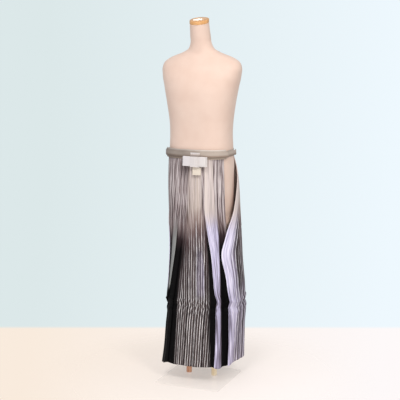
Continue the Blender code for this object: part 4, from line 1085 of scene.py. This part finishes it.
def makeRoom():
    world = bpy.data.worlds.new("soft_room")
    world.use_nodes = True
    tree = world.node_tree
    add = functools.partial(addNode, tree)
    lit = tree.nodes["Background"]
    lit.inputs["Color"].default_value = linear(studio["light"])
    lit.inputs["Strength"].default_value = studio["strength"]
    direction = add("TexCoord").outputs["Generated"]
    wall = sidewaysMix(add, direction, -0.5, -0.2, studio["wall"])
    floor = sidewaysMix(add, direction, -0.5, -0.2, studio["floor"])
    x, y, z = add("SeparateXYZ", direction).outputs
    deep = add("Math MULTIPLY_ADD", x, -math.sin(turn), add("Math MULTIPLY", y, math.cos(turn)))
    wide = add("Math MULTIPLY_ADD", x, math.cos(turn), add("Math MULTIPLY", y, math.sin(turn)))
    # a room with four walls
    wallAway = add("Math MAXIMUM", add("Math ABSOLUTE", deep), add("Math ABSOLUTE", wide))
    above = add("MapRange", add("Math DIVIDE", z, wallAway), *studio["skirting"])
    seen = add("Background", add("Mix RGBA", above, floor, wall))
    mixed = add("MixShader", add("LightPath"), lit, seen)
    joined(tree, mixed, tree.nodes["World Output"].inputs["Surface"])
    bpy.context.scene.world = world


turn = math.radians(studio["azimuth"])
makeFloor()
makeRoom()

softLights = {  # where each stands, where it points, its size, power and colour
    "key_light": ((3.0, -2.4, 3.4), (0, 0, 0.8), 1.0, 70, "#FFFCF8"),
    "fill_light": ((-2.2, -4.6, 1.3), (0, 0, 0.6), 2.6, 18, "#F6F8FF"),
    "top_light": ((0.3, -2.9, 3.9), (0, 0, 0.6), 0.9, 57, "#FFFFFF"),
    "low_light": ((1.6, -3.8, 0.5), (0, 0, 0.0), 1.6, 24, "#FFFAF5"),
    "cap_glint": ((-1.02, 2.08, 2.86), (0, -0.03, 1.6), 0.16, 0.9, "#FFFFFF"),
}
for name, (place, target, size, power, colour) in softLights.items():
    light = bpy.data.lights.new(name, "AREA")
    light.shape, light.size, light.energy = "SQUARE", size, power
    light.color = linear(colour)[:3]
    lamp = bpy.data.objects.new(name, light)
    lamp.location = place
    lamp.rotation_euler = (Vector(target) - Vector(place)).to_track_quat("-Z", "Y").to_euler()
    bpy.context.scene.collection.objects.link(lamp)
bpy.context.scene.view_settings.view_transform = "Standard"

lens = bpy.data.cameras.new("camera")
lens.lens, lens.sensor_width = studio["lens"], 36.0
camera = bpy.data.objects.new("camera", lens)
away = studio["distance"]
camera.location = (math.sin(turn) * away, -math.cos(turn) * away, studio["height"])
camera.rotation_euler = (math.radians(90 - studio["pitch"]), 0, turn + math.radians(studio["pan"]))
bpy.context.scene.collection.objects.link(camera)
bpy.context.scene.camera = camera
